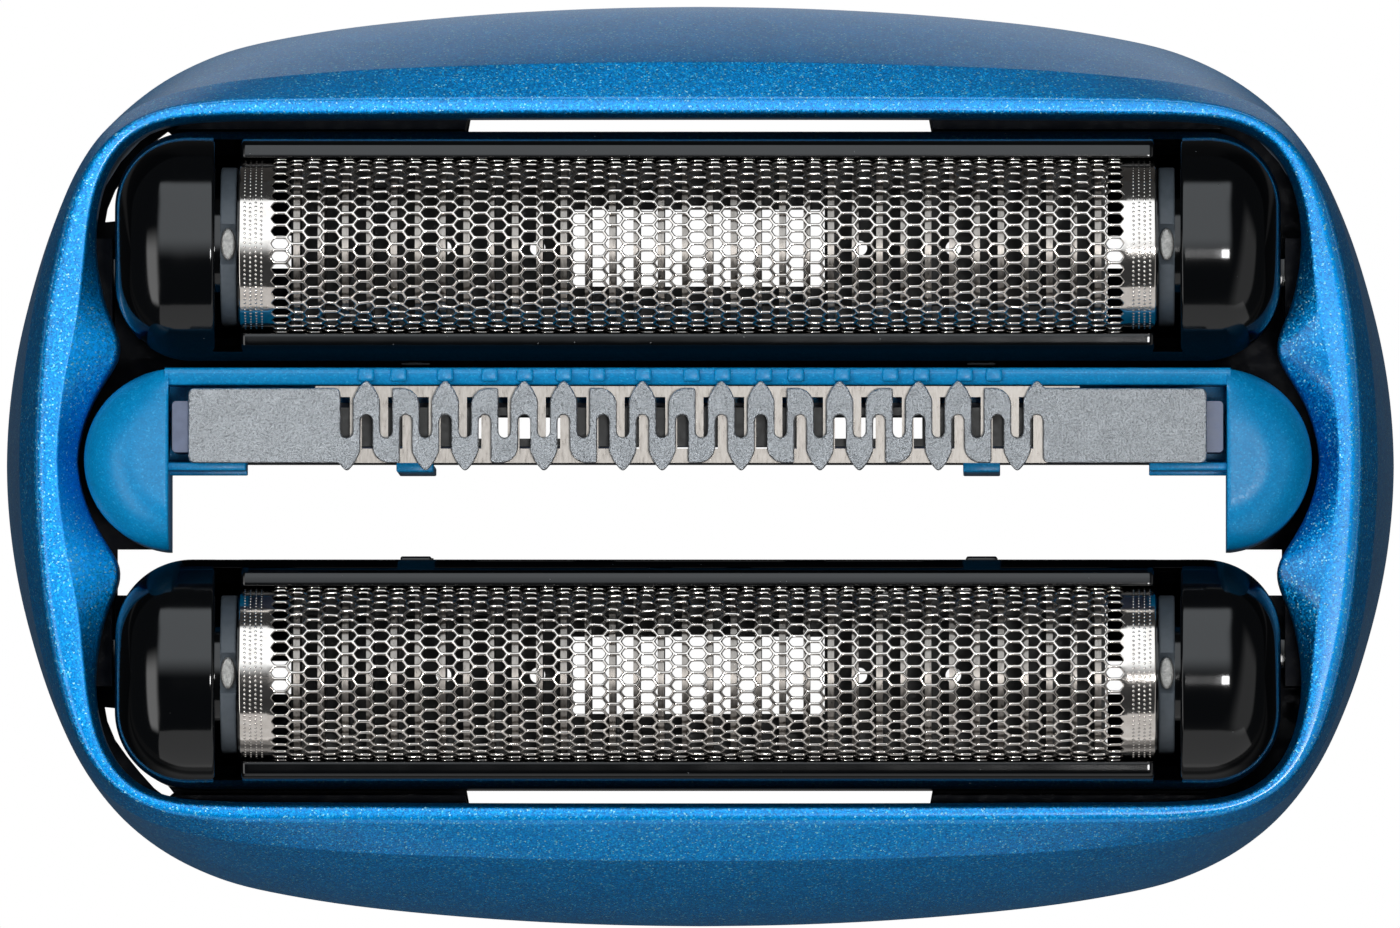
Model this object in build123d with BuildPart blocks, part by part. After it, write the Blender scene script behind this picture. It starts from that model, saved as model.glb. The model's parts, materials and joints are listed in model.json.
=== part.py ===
from build123d import *
import math
import os

os.makedirs("parts", exist_ok=True)

# ---------------------------------------------------------------- driving dimensions (mm)
# X runs along the foils, +Y is the rear, Z is up, base of the skirt at z = 0.

# outer frame, first-quadrant outlines from the long-side middle round to the end middle
base_line = [(0, 17.98), (5.8, 17.84), (10.47, 17.51), (15.14, 16.95), (18.7, 16.15), (20.9, 15.1),
             (22.6, 13.75), (24.0, 11.95), (25.2, 9.5), (26.1, 6.8), (26.8, 3.7), (27.1, 0)]
crease_line = [(0, 15.52), (8.9, 15.37), (15.5, 15.03), (19.6, 14.5), (21.6, 13.9), (23.0, 12.95),
               (24.1, 11.4), (25.05, 9.1), (25.75, 6.4), (26.2, 3.4), (26.38, 0)]
ridge_outer_line = [(0, 13.98), (9, 13.99), (15.4, 13.97), (18.9, 13.9), (21.0, 13.55), (22.5, 12.8),
                    (23.5, 11.75), (24.25, 10.3), (24.8, 8.4), (25.25, 6.0), (25.55, 3.2), (25.67, 0)]
ridge_inner_line = [(0, 13.45), (9, 13.44), (15.4, 13.41), (18.8, 13.37), (20.65, 13.2), (21.8, 12.76),
                    (22.64, 12.0), (23.24, 10.92), (23.6, 9.53), (23.8, 8.0), (24.1, 5.6), (24.6, 3.0), (24.86, 0)]
opening_line = [(0, 13.30), (9, 13.29), (15.4, 13.26), (18.6, 13.22), (20.45, 13.05), (21.48, 12.69), (22.32, 12.04),
                (22.94, 11.06), (23.3, 9.82), (23.42, 8.6), (23.3, 7.3), (22.98, 5.9), (22.5, 4.8), (22.42, 4.1),
                (22.85, 3.4), (23.6, 2.1), (24.1, 0)]
fan_x, fan_y = 17.5, 6.5      # centre of the corner fan of rays
station_rays = ([(x, 0, 0, 1) for x in (0, 3, 6, 9, 12, 15)]
                + [(fan_x, fan_y, math.cos(math.radians(a)), math.sin(math.radians(a))) for a in range(90, -1, -9)]
                + [(0, y, 1, 0) for y in (5.7, 5.0, 4.5, 4.1, 3.7, 3.2, 2.4, 1.5, 0.7, 0)])
skirt_tuck = 0.35          # inward curl of the bottom edge
skirt_z = 1.6              # height of the widest line
crease_z = 11.0
ridge_z = 13.0
opening_z = 12.4
rim_under_z = 9.6          # underside of the rim
wall_low, wall_high = 1.3, 0.9   # shell thickness at the base and under the rim

# inner frame
floor_z0, floor_z1 = 4.2, 5.2
wall_top_z = 9.3
chassis_x, chassis_y = 24.0, 13.75
end_floor_x = 24.7          # tongue of the floor at each end
corner_a, corner_b = (23.44, 8.83), (20.2, 13.1)   # two points on the straight corner cut
corner_slot = [(23.2, 9.45), (23.1, 10.0), (22.8, 10.72), (22.34, 11.36), (21.82, 12.0), (21.28, 12.6), (20.75, 13.0),
               (20.5, 12.8), (20.9, 12.3), (21.6, 11.6), (22.2, 10.7), (22.7, 9.5)]
slot_half_x = 9.1          # open middle part of the long side gaps
gap_y0, gap_y1 = -3.95, 0.0   # open gap between trimmer and front foil unit

# foil units
unit_y = 8.3
holder_hl, holder_hw = 22.6, 4.45
holder_corner = 3.0
holder_z0 = 6.9
arch_r, arch_top = 4.9, 16.2
arch_round = 1.4
rail_z = 14.3              # flat top of the rails
notch_x0, notch_z = 17.72, 13.0   # notch between a rail and the end dome
window_hx = 18.7           # inner face of the end domes
foil_r, foil_t, foil_cz = 3.5, 0.10, 13.0
foil_hl = 17.75
foil_leg_z = 11.0
rib_x = 16.9               # inner face of the end ribs under the foil
strip_x0, strip_x1 = 17.85, 18.48
strip_ro, strip_ri = 3.05, 2.34
stake_x = 18.165
float_foil = 1.5           # downward travel of a foil unit

# cutters
blade_n, blade_pitch, blade_t = 34, 0.94, 0.25
blade_r = 3.3
carrier_hl, carrier_hw = 15.8, 3.1
carrier_z0, carrier_z1 = 9.8, 11.8
drive_slot_hx, drive_slot_hy = 4.9, 1.5
cutter_stroke = 1.0

# springs of the foil units
spring_x = 20.7
spring_top = 11.2
spring_r, spring_wire = 0.95, 0.14

# trimmer
cap_cx, cap_r, cap_x = 20.3, 3.5, 20.5
cap_z0, cap_top = 7.0, 15.5
bar_y0, bar_y1, bar_top = 2.87, 3.54, 15.2
tray_z0, tray_z1 = 10.6, 11.6
comb_z0, comb_t = 15.2, 0.35
comb_y = 1.22
comb_y0, comb_y1 = -0.16, 2.6
comb_x0, comb_x1 = -19.6, 19.6
tooth_pitch, tooth_first, tooth_n = 1.5275, -12.82, 18
tooth_hw, slot_hw = 0.53, 0.235
up_slot_y, low_slot_y = 0.77, 1.63
tip_y = 2.9
blade_z0, blade_z1 = 14.7, 15.1
tblade_hl = 14.8
tblade_stroke = 0.6
bed_z0, bed_z1 = 11.6, 12.3
driver_z0 = 12.85
tspring_x, tspring_top = 22.05, 10.6
tspring_r, tspring_wire = 0.8, 0.12
float_trimmer = 1.5


# ---------------------------------------------------------------- helpers
def stations(points, per=24):
    """Quarter outline read off along fixed rays, so that every outline has matching points."""
    n = len(points)
    ext = [(-points[1][0], points[1][1])] + list(points) + [(points[-2][0], -points[-2][1])]
    dense = []
    for i in range(1, n):
        p0, p1, p2, p3 = ext[i - 1], ext[i], ext[i + 1], ext[i + 2]
        d0, d1, d2 = (math.hypot(b[0] - a[0], b[1] - a[1]) for a, b in ((p0, p1), (p1, p2), (p2, p3)))
        m1 = [((p2[k] - p1[k]) / d1 * d0 + (p1[k] - p0[k]) / d0 * d1) / (d0 + d1) * d1 for k in (0, 1)]
        m2 = [((p3[k] - p2[k]) / d2 * d1 + (p2[k] - p1[k]) / d1 * d2) / (d1 + d2) * d1 for k in (0, 1)]
        for j in range(per):
            t = j / per
            h = (2 * t ** 3 - 3 * t ** 2 + 1, t ** 3 - 2 * t ** 2 + t, -2 * t ** 3 + 3 * t ** 2, t ** 3 - t ** 2)
            dense.append(tuple(h[0] * p1[k] + h[1] * m1[k] + h[2] * p2[k] + h[3] * m2[k] for k in (0, 1)))
    dense.append(points[-1])
    out = []
    for ox, oy, dx, dy in station_rays:
        best = None
        for (ax, ay), (bx, by) in zip(dense, dense[1:]):
            sa = (ax - ox) * dy - (ay - oy) * dx
            sb = (bx - ox) * dy - (by - oy) * dx
            if sa == sb or sa * sb > 1e-12:
                continue
            t = sa / (sa - sb)
            x, y = ax + t * (bx - ax), ay + t * (by - ay)
            reach = (x - ox) * dx + (y - oy) * dy
            if reach > 0 and (best is None or reach > best[0]):
                best = (reach, x, y)
        out.append((best[1], best[2]))
    return out


def inset(points, d):
    """Move a quarter outline inwards by d along its normals."""
    out = []
    n = len(points)
    for i, (x, y) in enumerate(points):
        if i == 0:
            out.append((x, y - d))
        elif i == n - 1:
            out.append((x - d, y))
        else:
            tx = points[i + 1][0] - points[i - 1][0]
            ty = points[i + 1][1] - points[i - 1][1]
            ln = math.hypot(tx, ty)
            out.append((x + d * ty / ln, y - d * tx / ln))
    return out


def blend(a, b, f):
    """Outline between two quarter outlines."""
    return [(p[0] + f * (q[0] - p[0]), p[1] + f * (q[1] - p[1])) for p, q in zip(a, b)]


def ring(points):
    """Closed outline from a quarter, drawn in the open line context."""
    n = len(points)
    full = list(points)
    full += [(points[i][0], -points[i][1]) for i in range(n - 2, -1, -1)]
    full += [(-points[i][0], -points[i][1]) for i in range(1, n)]
    full += [(-points[i][0], points[i][1]) for i in range(n - 2, 0, -1)]
    Spline(*full, periodic=True)


def block(x0, x1, y0, y1, z0, z1, mode=Mode.ADD):
    """Straight block between two corners, in the open part context."""
    with Locations(((x0 + x1) / 2, (y0 + y1) / 2, (z0 + z1) / 2)):
        Box(x1 - x0, y1 - y0, z1 - z0, mode=mode)


# ---------------------------------------------------------------- outer frame
base_q, crease_q, ridge_outer_q, ridge_inner_q, opening_q = (
    stations(line) for line in (base_line, crease_line, ridge_outer_line, ridge_inner_line, opening_line))
with BuildPart() as outer_frame:
    for outline, z in (
        (inset(base_q, skirt_tuck), 0.0),
        (base_q, skirt_z),
        (blend(base_q, crease_q, 0.22), skirt_z + 0.36 * (crease_z - skirt_z)),
        (blend(base_q, crease_q, 0.55), skirt_z + 0.68 * (crease_z - skirt_z)),
        (crease_q, crease_z),
        (ridge_outer_q, ridge_z),
    ):
        with BuildSketch(Plane.XY.offset(z)):
            with BuildLine():
                ring(outline)
            make_face()
    loft(ruled=True)
    # opening with its sloped upper edge
    for outline, z in ((opening_q, rim_under_z - 0.6), (opening_q, opening_z),
                       (ridge_inner_q, ridge_z), (ridge_inner_q, ridge_z + 0.6)):
        with BuildSketch(Plane.XY.offset(z)):
            with BuildLine():
                ring(outline)
            make_face()
    loft(ruled=True, mode=Mode.SUBTRACT)
    # hollow inside of the skirt
    for outline, z in ((inset(base_q, wall_low), -0.4), (inset(crease_q, wall_high), rim_under_z)):
        with BuildSketch(Plane.XY.offset(z)):
            with BuildLine():
                ring(outline)
            make_face()
    loft(ruled=True, mode=Mode.SUBTRACT)
    # four bosses under the rim with the studs that fix the inner frame
    for sx in (-1, 1):
        for sy in (-1, 1):
            y0, y1 = sorted((sy * 13.9, sy * 15.0))
            block(sx * 15 - 1.5, sx * 15 + 1.5, y0, y1, floor_z1, rim_under_z + 0.3)
            with Locations((sx * 15, sy * 14.15, floor_z1 - 0.6)):
                Cylinder(0.3, 1.6)
outer_frame.part.label = "outer_frame"
export_step(outer_frame.part, "parts/outer_frame.step")

# ---------------------------------------------------------------- inner frame
slope = (corner_b[1] - corner_a[1]) / (corner_b[0] - corner_a[0])
cut_y = corner_a[1] + slope * (chassis_x - corner_a[0])
cut_x = corner_b[0] + (chassis_y - corner_b[1]) / slope
lining_q = inset(blend(inset(base_q, wall_low), inset(crease_q, wall_high), 0.6), 0.1)   # clear of the skirt's inside
with BuildPart() as inner_frame:
    with BuildSketch(Plane.XY.offset(floor_z0)):
        with BuildLine():
            Polyline((cut_x, chassis_y), (chassis_x, cut_y), (chassis_x, -cut_y), (cut_x, -chassis_y),
                     (-cut_x, -chassis_y), (-chassis_x, -cut_y), (-chassis_x, cut_y), (-cut_x, chassis_y), close=True)
        make_face()
        for sx in (-1, 1):
            for sy in (-1, 1):
                with BuildLine():
                    Polyline((sx * 19.0, sy * 12.9), *[(sx * x, sy * y) for x, y in lining_q[8:15]], (sx * 23.2, sy * 8.4),
                             close=True)
                make_face()
        # cutter windows, narrower at their ends
        with Locations((0, unit_y), (0, -unit_y)):
            Rectangle(2 * 15.9, 6.7, mode=Mode.SUBTRACT)
            Rectangle(2 * 17.4, 1.3, mode=Mode.SUBTRACT)
        # curved slots round the holder corners on the left
        for sy in (-1, 1):
            with BuildLine():
                Polyline(*[(-x, sy * y) for x, y in corner_slot], close=True)
            make_face(mode=Mode.SUBTRACT)
        # open gap, running on round the front of the trimmer caps
        for sx in (-1, 1):
            with BuildLine():
                Polyline((-sx, gap_y1), (sx * 20.65, gap_y1), (sx * 20.65, -3.3), (sx * 22.7, -3.3), (sx * 22.7, -5.1),
                         (sx * 20.2, -5.1), (sx * 20.2, gap_y0), (-sx, gap_y0), close=True)
            make_face(mode=Mode.SUBTRACT)
        with Locations((0, 1.25)):
            Rectangle(6.6, 1.7, mode=Mode.SUBTRACT)
        with Locations((6.8, 1.25), (-6.8, 1.25)):
            Rectangle(3.8, 1.2, mode=Mode.SUBTRACT)
        for sy in (-1, 1):
            with BuildLine():
                Polyline((-slot_half_x, sy * 12.6), (slot_half_x, sy * 12.6), (slot_half_x - 0.35, sy * 14.5),
                         (-slot_half_x + 0.35, sy * 14.5), close=True)
            make_face(mode=Mode.SUBTRACT)
    extrude(amount=floor_z1 - floor_z0)
    # long guide walls beside the holders, open in the middle
    with BuildSketch(Plane.XY.offset(floor_z1)):
        for sx in (-1, 1):
            for sy in (-1, 1):
                with BuildLine():
                    Polyline((sx * slot_half_x, sy * 12.95), (sx * 20.31, sy * 12.95), (sx * 20.1, sy * 13.22),
                             (sx * 18.0, sy * 13.55), (sx * 17.0, sy * chassis_y),
                             (sx * (slot_half_x - 0.2), sy * chassis_y), close=True)
                make_face()
    extrude(amount=wall_top_z - floor_z1)
    # end walls with the guide slots of the holders
    for sx in (-1, 1):
        for sy in (-1, 1):
            xa, xb = sorted((sx * 22.8, sx * 23.5))
            ya, yb = sorted((sy * 5.2, sy * 8.7))
            block(xa, xb, ya, yb, floor_z1, wall_top_z)
            ya, yb = sorted((sy * 6.7, sy * 8.1))
            block(xa - 0.1, xb + 0.1, ya, yb, floor_z1 + 0.2, 8.3, mode=Mode.SUBTRACT)
            # spring posts of the foil units
            with Locations((sx * spring_x, sy * unit_y, floor_z1 + 1.1)):
                Cylinder(0.6, 2.4)
            # fixing ears under the bosses of the shell
            ya, yb = sorted((sy * (chassis_y - 0.2), sy * 14.48))
            block(sx * 15 - 1.5, sx * 15 + 1.5, ya, yb, floor_z0, floor_z1)
            with Locations((sx * 15, sy * 14.15, (floor_z0 + floor_z1) / 2)):
                Cylinder(0.34, 2.0, mode=Mode.SUBTRACT)
        # spring post of the trimmer
        with Locations((sx * tspring_x, 0, floor_z1 + 0.9)):
            Cylinder(0.5, 2.0)
        # latch plate with its window
        xa, xb = sorted((sx * 23.1, sx * 24.0))
        block(xa, xb, -4.0, 4.0, 0.8, floor_z0)
        ya, yb = sorted((sx * 23.8, sx * end_floor_x))
        block(ya, yb, -3.0, 3.0, floor_z0, floor_z1)
        block(xa - 0.1, xb + 0.1, -2.5, 2.5, 1.5, 3.2, mode=Mode.SUBTRACT)
        # small tabs on the front cross bar
        block(sx * 11 - 0.62, sx * 11 + 0.62, gap_y0 - 0.3, gap_y0 + 0.3, floor_z0, floor_z1)
inner_frame.part.label = "inner_frame"
export_step(inner_frame.part, "parts/inner_frame.step")

# ---------------------------------------------------------------- foil holders
arch_cz = arch_top - arch_r
with BuildPart() as rear_foil_holder:
    with BuildSketch(Plane.XY.offset(holder_z0)):
        with Locations((0, unit_y)):
            RectangleRounded(2 * holder_hl, 2 * holder_hw, holder_corner)
    extrude(amount=11)
    edge_z = arch_cz + math.sqrt(arch_r ** 2 - holder_hw ** 2)
    with BuildSketch(Plane.YZ.offset(-holder_hl - 1)):
        with BuildLine():
            Polyline((unit_y + holder_hw, edge_z), (unit_y + holder_hw, holder_z0 - 1),
                     (unit_y - holder_hw, holder_z0 - 1), (unit_y - holder_hw, edge_z))
            ThreePointArc((unit_y - holder_hw, edge_z), (unit_y, arch_top), (unit_y + holder_hw, edge_z))
        make_face()
    extrude(amount=2 * holder_hl + 2, mode=Mode.INTERSECT)
    nose = rear_foil_holder.edges().filter_by(
        lambda e: e.center().Z > edge_z - 0.01 and abs(e.center().X) > 15)
    fillet(nose, arch_round)
    # window for the foil with the rails on both sides
    with BuildSketch(Plane.YZ.offset(-window_hx)):
        with BuildLine():
            Polyline((unit_y - 3.55, holder_z0 - 1), (unit_y - 3.55, 14.0), (unit_y - 3.40, 14.0), (unit_y - 3.40, rail_z),
                     (unit_y - 5, rail_z), (unit_y - 5, 18), (unit_y + 5, 18), (unit_y + 5, rail_z),
                     (unit_y + 3.40, rail_z), (unit_y + 3.40, 14.0),
                     (unit_y + 3.55, 14.0), (unit_y + 3.55, holder_z0 - 1), close=True)
        make_face()
    extrude(amount=2 * window_hx, mode=Mode.SUBTRACT)
    for sx in (-1, 1):
        # notches at the ends of the rails
        xa, xb = sorted((sx * notch_x0, sx * window_hx))
        for ya, yb in ((unit_y - 4.1, unit_y - 3.1), (unit_y + 3.1, unit_y + 4.1)):
            block(xa, xb, ya, yb, notch_z, 18.0, mode=Mode.SUBTRACT)
        # rib under the end margin of the foil
        xa, xb = sorted((sx * rib_x, sx * (strip_x0 - 0.05)))
        with BuildSketch(Plane.YZ.offset(xa)):
            with Locations((unit_y, foil_cz)):
                Circle(foil_r - foil_t - 0.02)
            with Locations((unit_y, (foil_leg_z - 0.1 + foil_cz) / 2)):
                Rectangle(2 * (foil_r - foil_t - 0.02), foil_cz - foil_leg_z + 0.1)
            with Locations((unit_y, (holder_z0 + foil_leg_z - 0.1) / 2)):
                Rectangle(7.1, foil_leg_z - 0.1 - holder_z0)
        extrude(amount=xb - xa)
        # seat of the end strip
        xa, xb = sorted((sx * (strip_x0 - 0.05), sx * window_hx))
        with BuildSketch(Plane.YZ.offset(xa)):
            with Locations((unit_y, foil_cz)):
                Circle(strip_ri - 0.02)
            with Locations((unit_y, (foil_leg_z - 0.1 + foil_cz) / 2)):
                Rectangle(2 * (strip_ri - 0.02), foil_cz - foil_leg_z + 0.1)
            with Locations((unit_y, (holder_z0 + foil_leg_z - 0.1) / 2)):
                Rectangle(7.1, foil_leg_z - 0.1 - holder_z0)
        extrude(amount=xb - xa)
        # bore for the coil spring
        with Locations((sx * spring_x, unit_y, (holder_z0 - 1 + spring_top) / 2)):
            Cylinder(1.3, spring_top - holder_z0 + 1, mode=Mode.SUBTRACT)
        # guide lug at the end
        xa, xb = sorted((sx * (holder_hl - 0.4), sx * 23.3))
        block(xa, xb, 6.8, 8.0, 7.2, 8.2)
        # guide rib on the trimmer side
        block(sx * 11 - 0.6, sx * 11 + 0.6, unit_y - holder_hw - 0.2, unit_y - holder_hw + 0.3, holder_z0, 9.0)
    # ledges that keep the cutter in
    block(-rib_x - 0.2, rib_x + 0.2, unit_y - 3.65, unit_y - 2.9, 8.8, 9.7)
    block(-rib_x - 0.2, rib_x + 0.2, unit_y + 2.9, unit_y + 3.65, 8.8, 9.7)
rear_foil_holder.part.label = "rear_foil_holder"
export_step(rear_foil_holder.part, "parts/rear_foil_holder.step")

with BuildPart() as front_foil_holder:
    mirror(rear_foil_holder.part, about=Plane.XZ)
front_foil_holder.part.label = "front_foil_holder"
export_step(front_foil_holder.part, "parts/front_foil_holder.step")

# ---------------------------------------------------------------- foils
with BuildPart() as rear_foil:
    with BuildSketch(Plane.YZ.offset(-foil_hl)):
        with BuildLine():
            ri = foil_r - foil_t
            Line((unit_y - foil_r, foil_leg_z), (unit_y - foil_r, foil_cz))
            ThreePointArc((unit_y - foil_r, foil_cz), (unit_y, foil_cz + foil_r), (unit_y + foil_r, foil_cz))
            Polyline((unit_y + foil_r, foil_cz), (unit_y + foil_r, foil_leg_z), (unit_y + ri, foil_leg_z),
                     (unit_y + ri, foil_cz))
            ThreePointArc((unit_y + ri, foil_cz), (unit_y, foil_cz + ri), (unit_y - ri, foil_cz))
            Polyline((unit_y - ri, foil_cz), (unit_y - ri, foil_leg_z), (unit_y - foil_r, foil_leg_z))
        make_face()
    extrude(amount=2 * foil_hl)
rear_foil.part.label = "rear_foil"
export_step(rear_foil.part, "parts/rear_foil.step")

with BuildPart() as front_foil:
    mirror(rear_foil.part, about=Plane.XZ)
front_foil.part.label = "front_foil"
export_step(front_foil.part, "parts/front_foil.step")

# ---------------------------------------------------------------- end strips and their studs
with BuildPart() as rear_foil_end_strips:
    for sx in (-1, 1):
        xa, xb = sorted((sx * strip_x0, sx * strip_x1))
        facets = [(unit_y + strip_ro * math.sin(math.radians(a)), foil_cz + strip_ro * math.cos(math.radians(a)))
                  for a in (-90, -62, -42, -24, -8, 8, 24, 42, 62, 90)]
        with BuildSketch(Plane.YZ.offset(xa)):
            with BuildLine():
                Polyline((unit_y - strip_ro, foil_leg_z), *facets, (unit_y + strip_ro, foil_leg_z), close=True)
            make_face()
            with Locations((unit_y, foil_cz)):
                Circle(strip_ri, mode=Mode.SUBTRACT)
            with Locations((unit_y, foil_cz - 1.6)):
                Rectangle(2 * strip_ri, 3.2, mode=Mode.SUBTRACT)
        extrude(amount=xb - xa)
        # seat of the stud
        block(xa - 0.1, xb + 0.1, unit_y - 0.68, unit_y + 0.68, foil_cz + 2.68, foil_cz + 3.4, mode=Mode.SUBTRACT)
        with Locations((sx * stake_x, unit_y, foil_cz + 2.5)):
            Cylinder(0.25, 1.0, mode=Mode.SUBTRACT)
rear_foil_end_strips.part.label = "rear_foil_end_strips"
export_step(rear_foil_end_strips.part, "parts/rear_foil_end_strips.step")

with BuildPart() as front_foil_end_strips:
    mirror(rear_foil_end_strips.part, about=Plane.XZ)
front_foil_end_strips.part.label = "front_foil_end_strips"
export_step(front_foil_end_strips.part, "parts/front_foil_end_strips.step")

with BuildPart() as rear_foil_stakes:
    for sx in (-1, 1):
        with BuildSketch(Plane.XY.offset(foil_cz + 2.69)):
            with Locations((sx * stake_x, unit_y)):
                Ellipse(0.29, 0.62)
        extrude(amount=0.46)
    fillet(rear_foil_stakes.edges().group_by(Axis.Z)[-1], 0.12)
    for sx in (-1, 1):
        with Locations((sx * stake_x, unit_y, foil_cz + 2.52)):
            Cylinder(0.22, 0.36)
rear_foil_stakes.part.label = "rear_foil_stakes"
export_step(rear_foil_stakes.part, "parts/rear_foil_stakes.step")

with BuildPart() as front_foil_stakes:
    mirror(rear_foil_stakes.part, about=Plane.XZ)
front_foil_stakes.part.label = "front_foil_stakes"
export_step(front_foil_stakes.part, "parts/front_foil_stakes.step")

# ---------------------------------------------------------------- cutters
with BuildPart() as rear_cutter_carrier:
    block(-carrier_hl, carrier_hl, unit_y - carrier_hw, unit_y + carrier_hw, carrier_z0, carrier_z1)
    # channel between the side rails
    block(-carrier_hl + 0.5, carrier_hl - 0.5, unit_y - 2.3, unit_y + 2.3, carrier_z0 + 0.8, carrier_z1 + 0.1,
          mode=Mode.SUBTRACT)
    # jaws on both sides of the drive slot
    for sx in (-1, 1):
        xa, xb = sorted((sx * drive_slot_hx, sx * (drive_slot_hx + 0.9)))
        block(xa, xb, unit_y - 2.2, unit_y + 2.2, 8.2, carrier_z0 + 0.4)
    block(-drive_slot_hx, drive_slot_hx, unit_y - drive_slot_hy, unit_y + drive_slot_hy, carrier_z0 - 0.1, carrier_z1,
          mode=Mode.SUBTRACT)
    with Locations(*[(x, unit_y, carrier_z0) for x in (-9.9, -6.25, 6.25, 9.9)]):
        Cylinder(0.3, 4.0, mode=Mode.SUBTRACT)
    # seats of the lamellae
    with Locations((0, unit_y, carrier_z1 - 0.35)):
        with GridLocations(blade_pitch, 1, blade_n, 1):
            Box(blade_t + 0.02, 2 * carrier_hw + 1, 0.9, mode=Mode.SUBTRACT)
rear_cutter_carrier.part.label = "rear_cutter_carrier"
export_step(rear_cutter_carrier.part, "parts/rear_cutter_carrier.step")

with BuildPart() as front_cutter_carrier:
    mirror(rear_cutter_carrier.part, about=Plane.XZ)
front_cutter_carrier.part.label = "front_cutter_carrier"
export_step(front_cutter_carrier.part, "parts/front_cutter_carrier.step")

with BuildPart() as rear_cutter_blades:
    for i in range(blade_n):
        x = (i - (blade_n - 1) / 2) * blade_pitch
        with BuildSketch(Plane.YZ.offset(x - blade_t / 2)):
            with BuildLine():
                Polyline((unit_y - blade_r, foil_cz), (unit_y - 3.05, foil_cz - 0.5), (unit_y - 3.05, 11.02),
                         (unit_y + 3.05, 11.02), (unit_y + 3.05, foil_cz - 0.5), (unit_y + blade_r, foil_cz))
                ThreePointArc((unit_y + blade_r, foil_cz), (unit_y, foil_cz + blade_r), (unit_y - blade_r, foil_cz))
            make_face()
        extrude(amount=blade_t)
rear_cutter_blades.part.label = "rear_cutter_blades"
export_step(rear_cutter_blades.part, "parts/rear_cutter_blades.step")

with BuildPart() as front_cutter_blades:
    mirror(rear_cutter_blades.part, about=Plane.XZ)
front_cutter_blades.part.label = "front_cutter_blades"
export_step(front_cutter_blades.part, "parts/front_cutter_blades.step")


# ---------------------------------------------------------------- coil springs of the foil units
spring_z0 = floor_z1 + spring_wire + 0.02
spring_len = spring_top - spring_wire - 0.02 - spring_z0
with BuildPart() as rear_foil_springs:
    for sx in (-1, 1):
        with BuildLine() as coil:
            Helix(spring_len / 7, spring_len, spring_r, center=(sx * spring_x, unit_y, spring_z0))
        with BuildSketch(Plane(origin=coil.line @ 0, z_dir=coil.line % 0)):
            Circle(spring_wire)
        sweep(path=coil.line, is_frenet=True)
rear_foil_springs.part.label = "rear_foil_springs"
export_step(rear_foil_springs.part, "parts/rear_foil_springs.step")

with BuildPart() as front_foil_springs:
    for sx in (-1, 1):
        with BuildLine() as coil:
            Helix(spring_len / 7, spring_len, spring_r, center=(sx * spring_x, -unit_y, spring_z0))
        with BuildSketch(Plane(origin=coil.line @ 0, z_dir=coil.line % 0)):
            Circle(spring_wire)
        sweep(path=coil.line, is_frenet=True)
front_foil_springs.part.label = "front_foil_springs"
export_step(front_foil_springs.part, "parts/front_foil_springs.step")

# ---------------------------------------------------------------- trimmer holder
with BuildPart() as trimmer_holder:
    # half-round end caps
    for sx in (-1, 1):
        with BuildSketch(Plane.XY.offset(cap_z0)):
            with Locations((sx * cap_cx, 0)):
                Circle(cap_r)
            with Locations((sx * (cap_x - 10), 0)):
                Rectangle(20, 20, mode=Mode.SUBTRACT)
        extrude(amount=cap_top - cap_z0)
    caps_round = trimmer_holder.edges().group_by(Axis.Z)[-1].filter_by(GeomType.CIRCLE)
    fillet(caps_round, 1.9)
    # bar along the rear with its raised blocks
    block(-cap_x - 0.3, cap_x + 0.3, bar_y0, bar_y1, tray_z0, bar_top)
    for x in (-12.84, -11.58, -9.77, -8.05, -6.69, -5.18, -3.89, -2.10, -0.23, 0.97, 2.57, 3.81, 5.6, 7.47, 8.68,
              10.35, 11.48):
        block(x - 0.33, x + 0.33, bar_y0 + 0.13, bar_y1 - 0.03, bar_top - 0.1, bar_top + 0.2)
    # tray under the comb
    block(-cap_x - 0.3, cap_x + 0.3, -0.55, bar_y0 + 0.2, tray_z0, tray_z1)
    block(-3.2, 3.2, 0.4, 2.1, tray_z0 - 0.1, tray_z1 + 0.1, mode=Mode.SUBTRACT)
    for sx in (-1, 1):
        xa, xb = sorted((sx * 4.9, sx * 8.7))
        block(xa, xb, 0.65, 1.85, tray_z0 - 0.1, tray_z1 + 0.1, mode=Mode.SUBTRACT)
        # front ledges at both ends
        xa, xb = sorted((sx * 17.5, sx * (cap_x + 0.3)))
        block(xa, xb, -0.55, -0.22, tray_z0, 14.6)
        # bore for the coil spring
        with Locations((sx * tspring_x, 0, (cap_z0 - 1 + tspring_top) / 2)):
            Cylinder(1.1, tspring_top - cap_z0 + 1, mode=Mode.SUBTRACT)
        # snap hook at the front edge
        block(sx * 11 - 0.62, sx * 11 + 0.62, -0.62, -0.1, 3.5, tray_z1)
        with BuildSketch(Plane.YZ.offset(sx * 11 - 0.62)):
            with BuildLine():
                Polyline((-0.2, 4.05), (0.35, 4.05), (0.35, 3.85), (-0.2, 3.5), close=True)
            make_face()
        extrude(amount=1.24)
    # front edge of the tray stands back between the hooks and the ledges
    for xa, xb in ((-17.5, -11.62), (-10.38, 10.38), (11.62, 17.5)):
        block(xa, xb, -0.7, 0.0, tray_z0 - 0.1, tray_z1 + 0.1, mode=Mode.SUBTRACT)
trimmer_holder.part.label = "trimmer_holder"
export_step(trimmer_holder.part, "parts/trimmer_holder.step")


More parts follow.
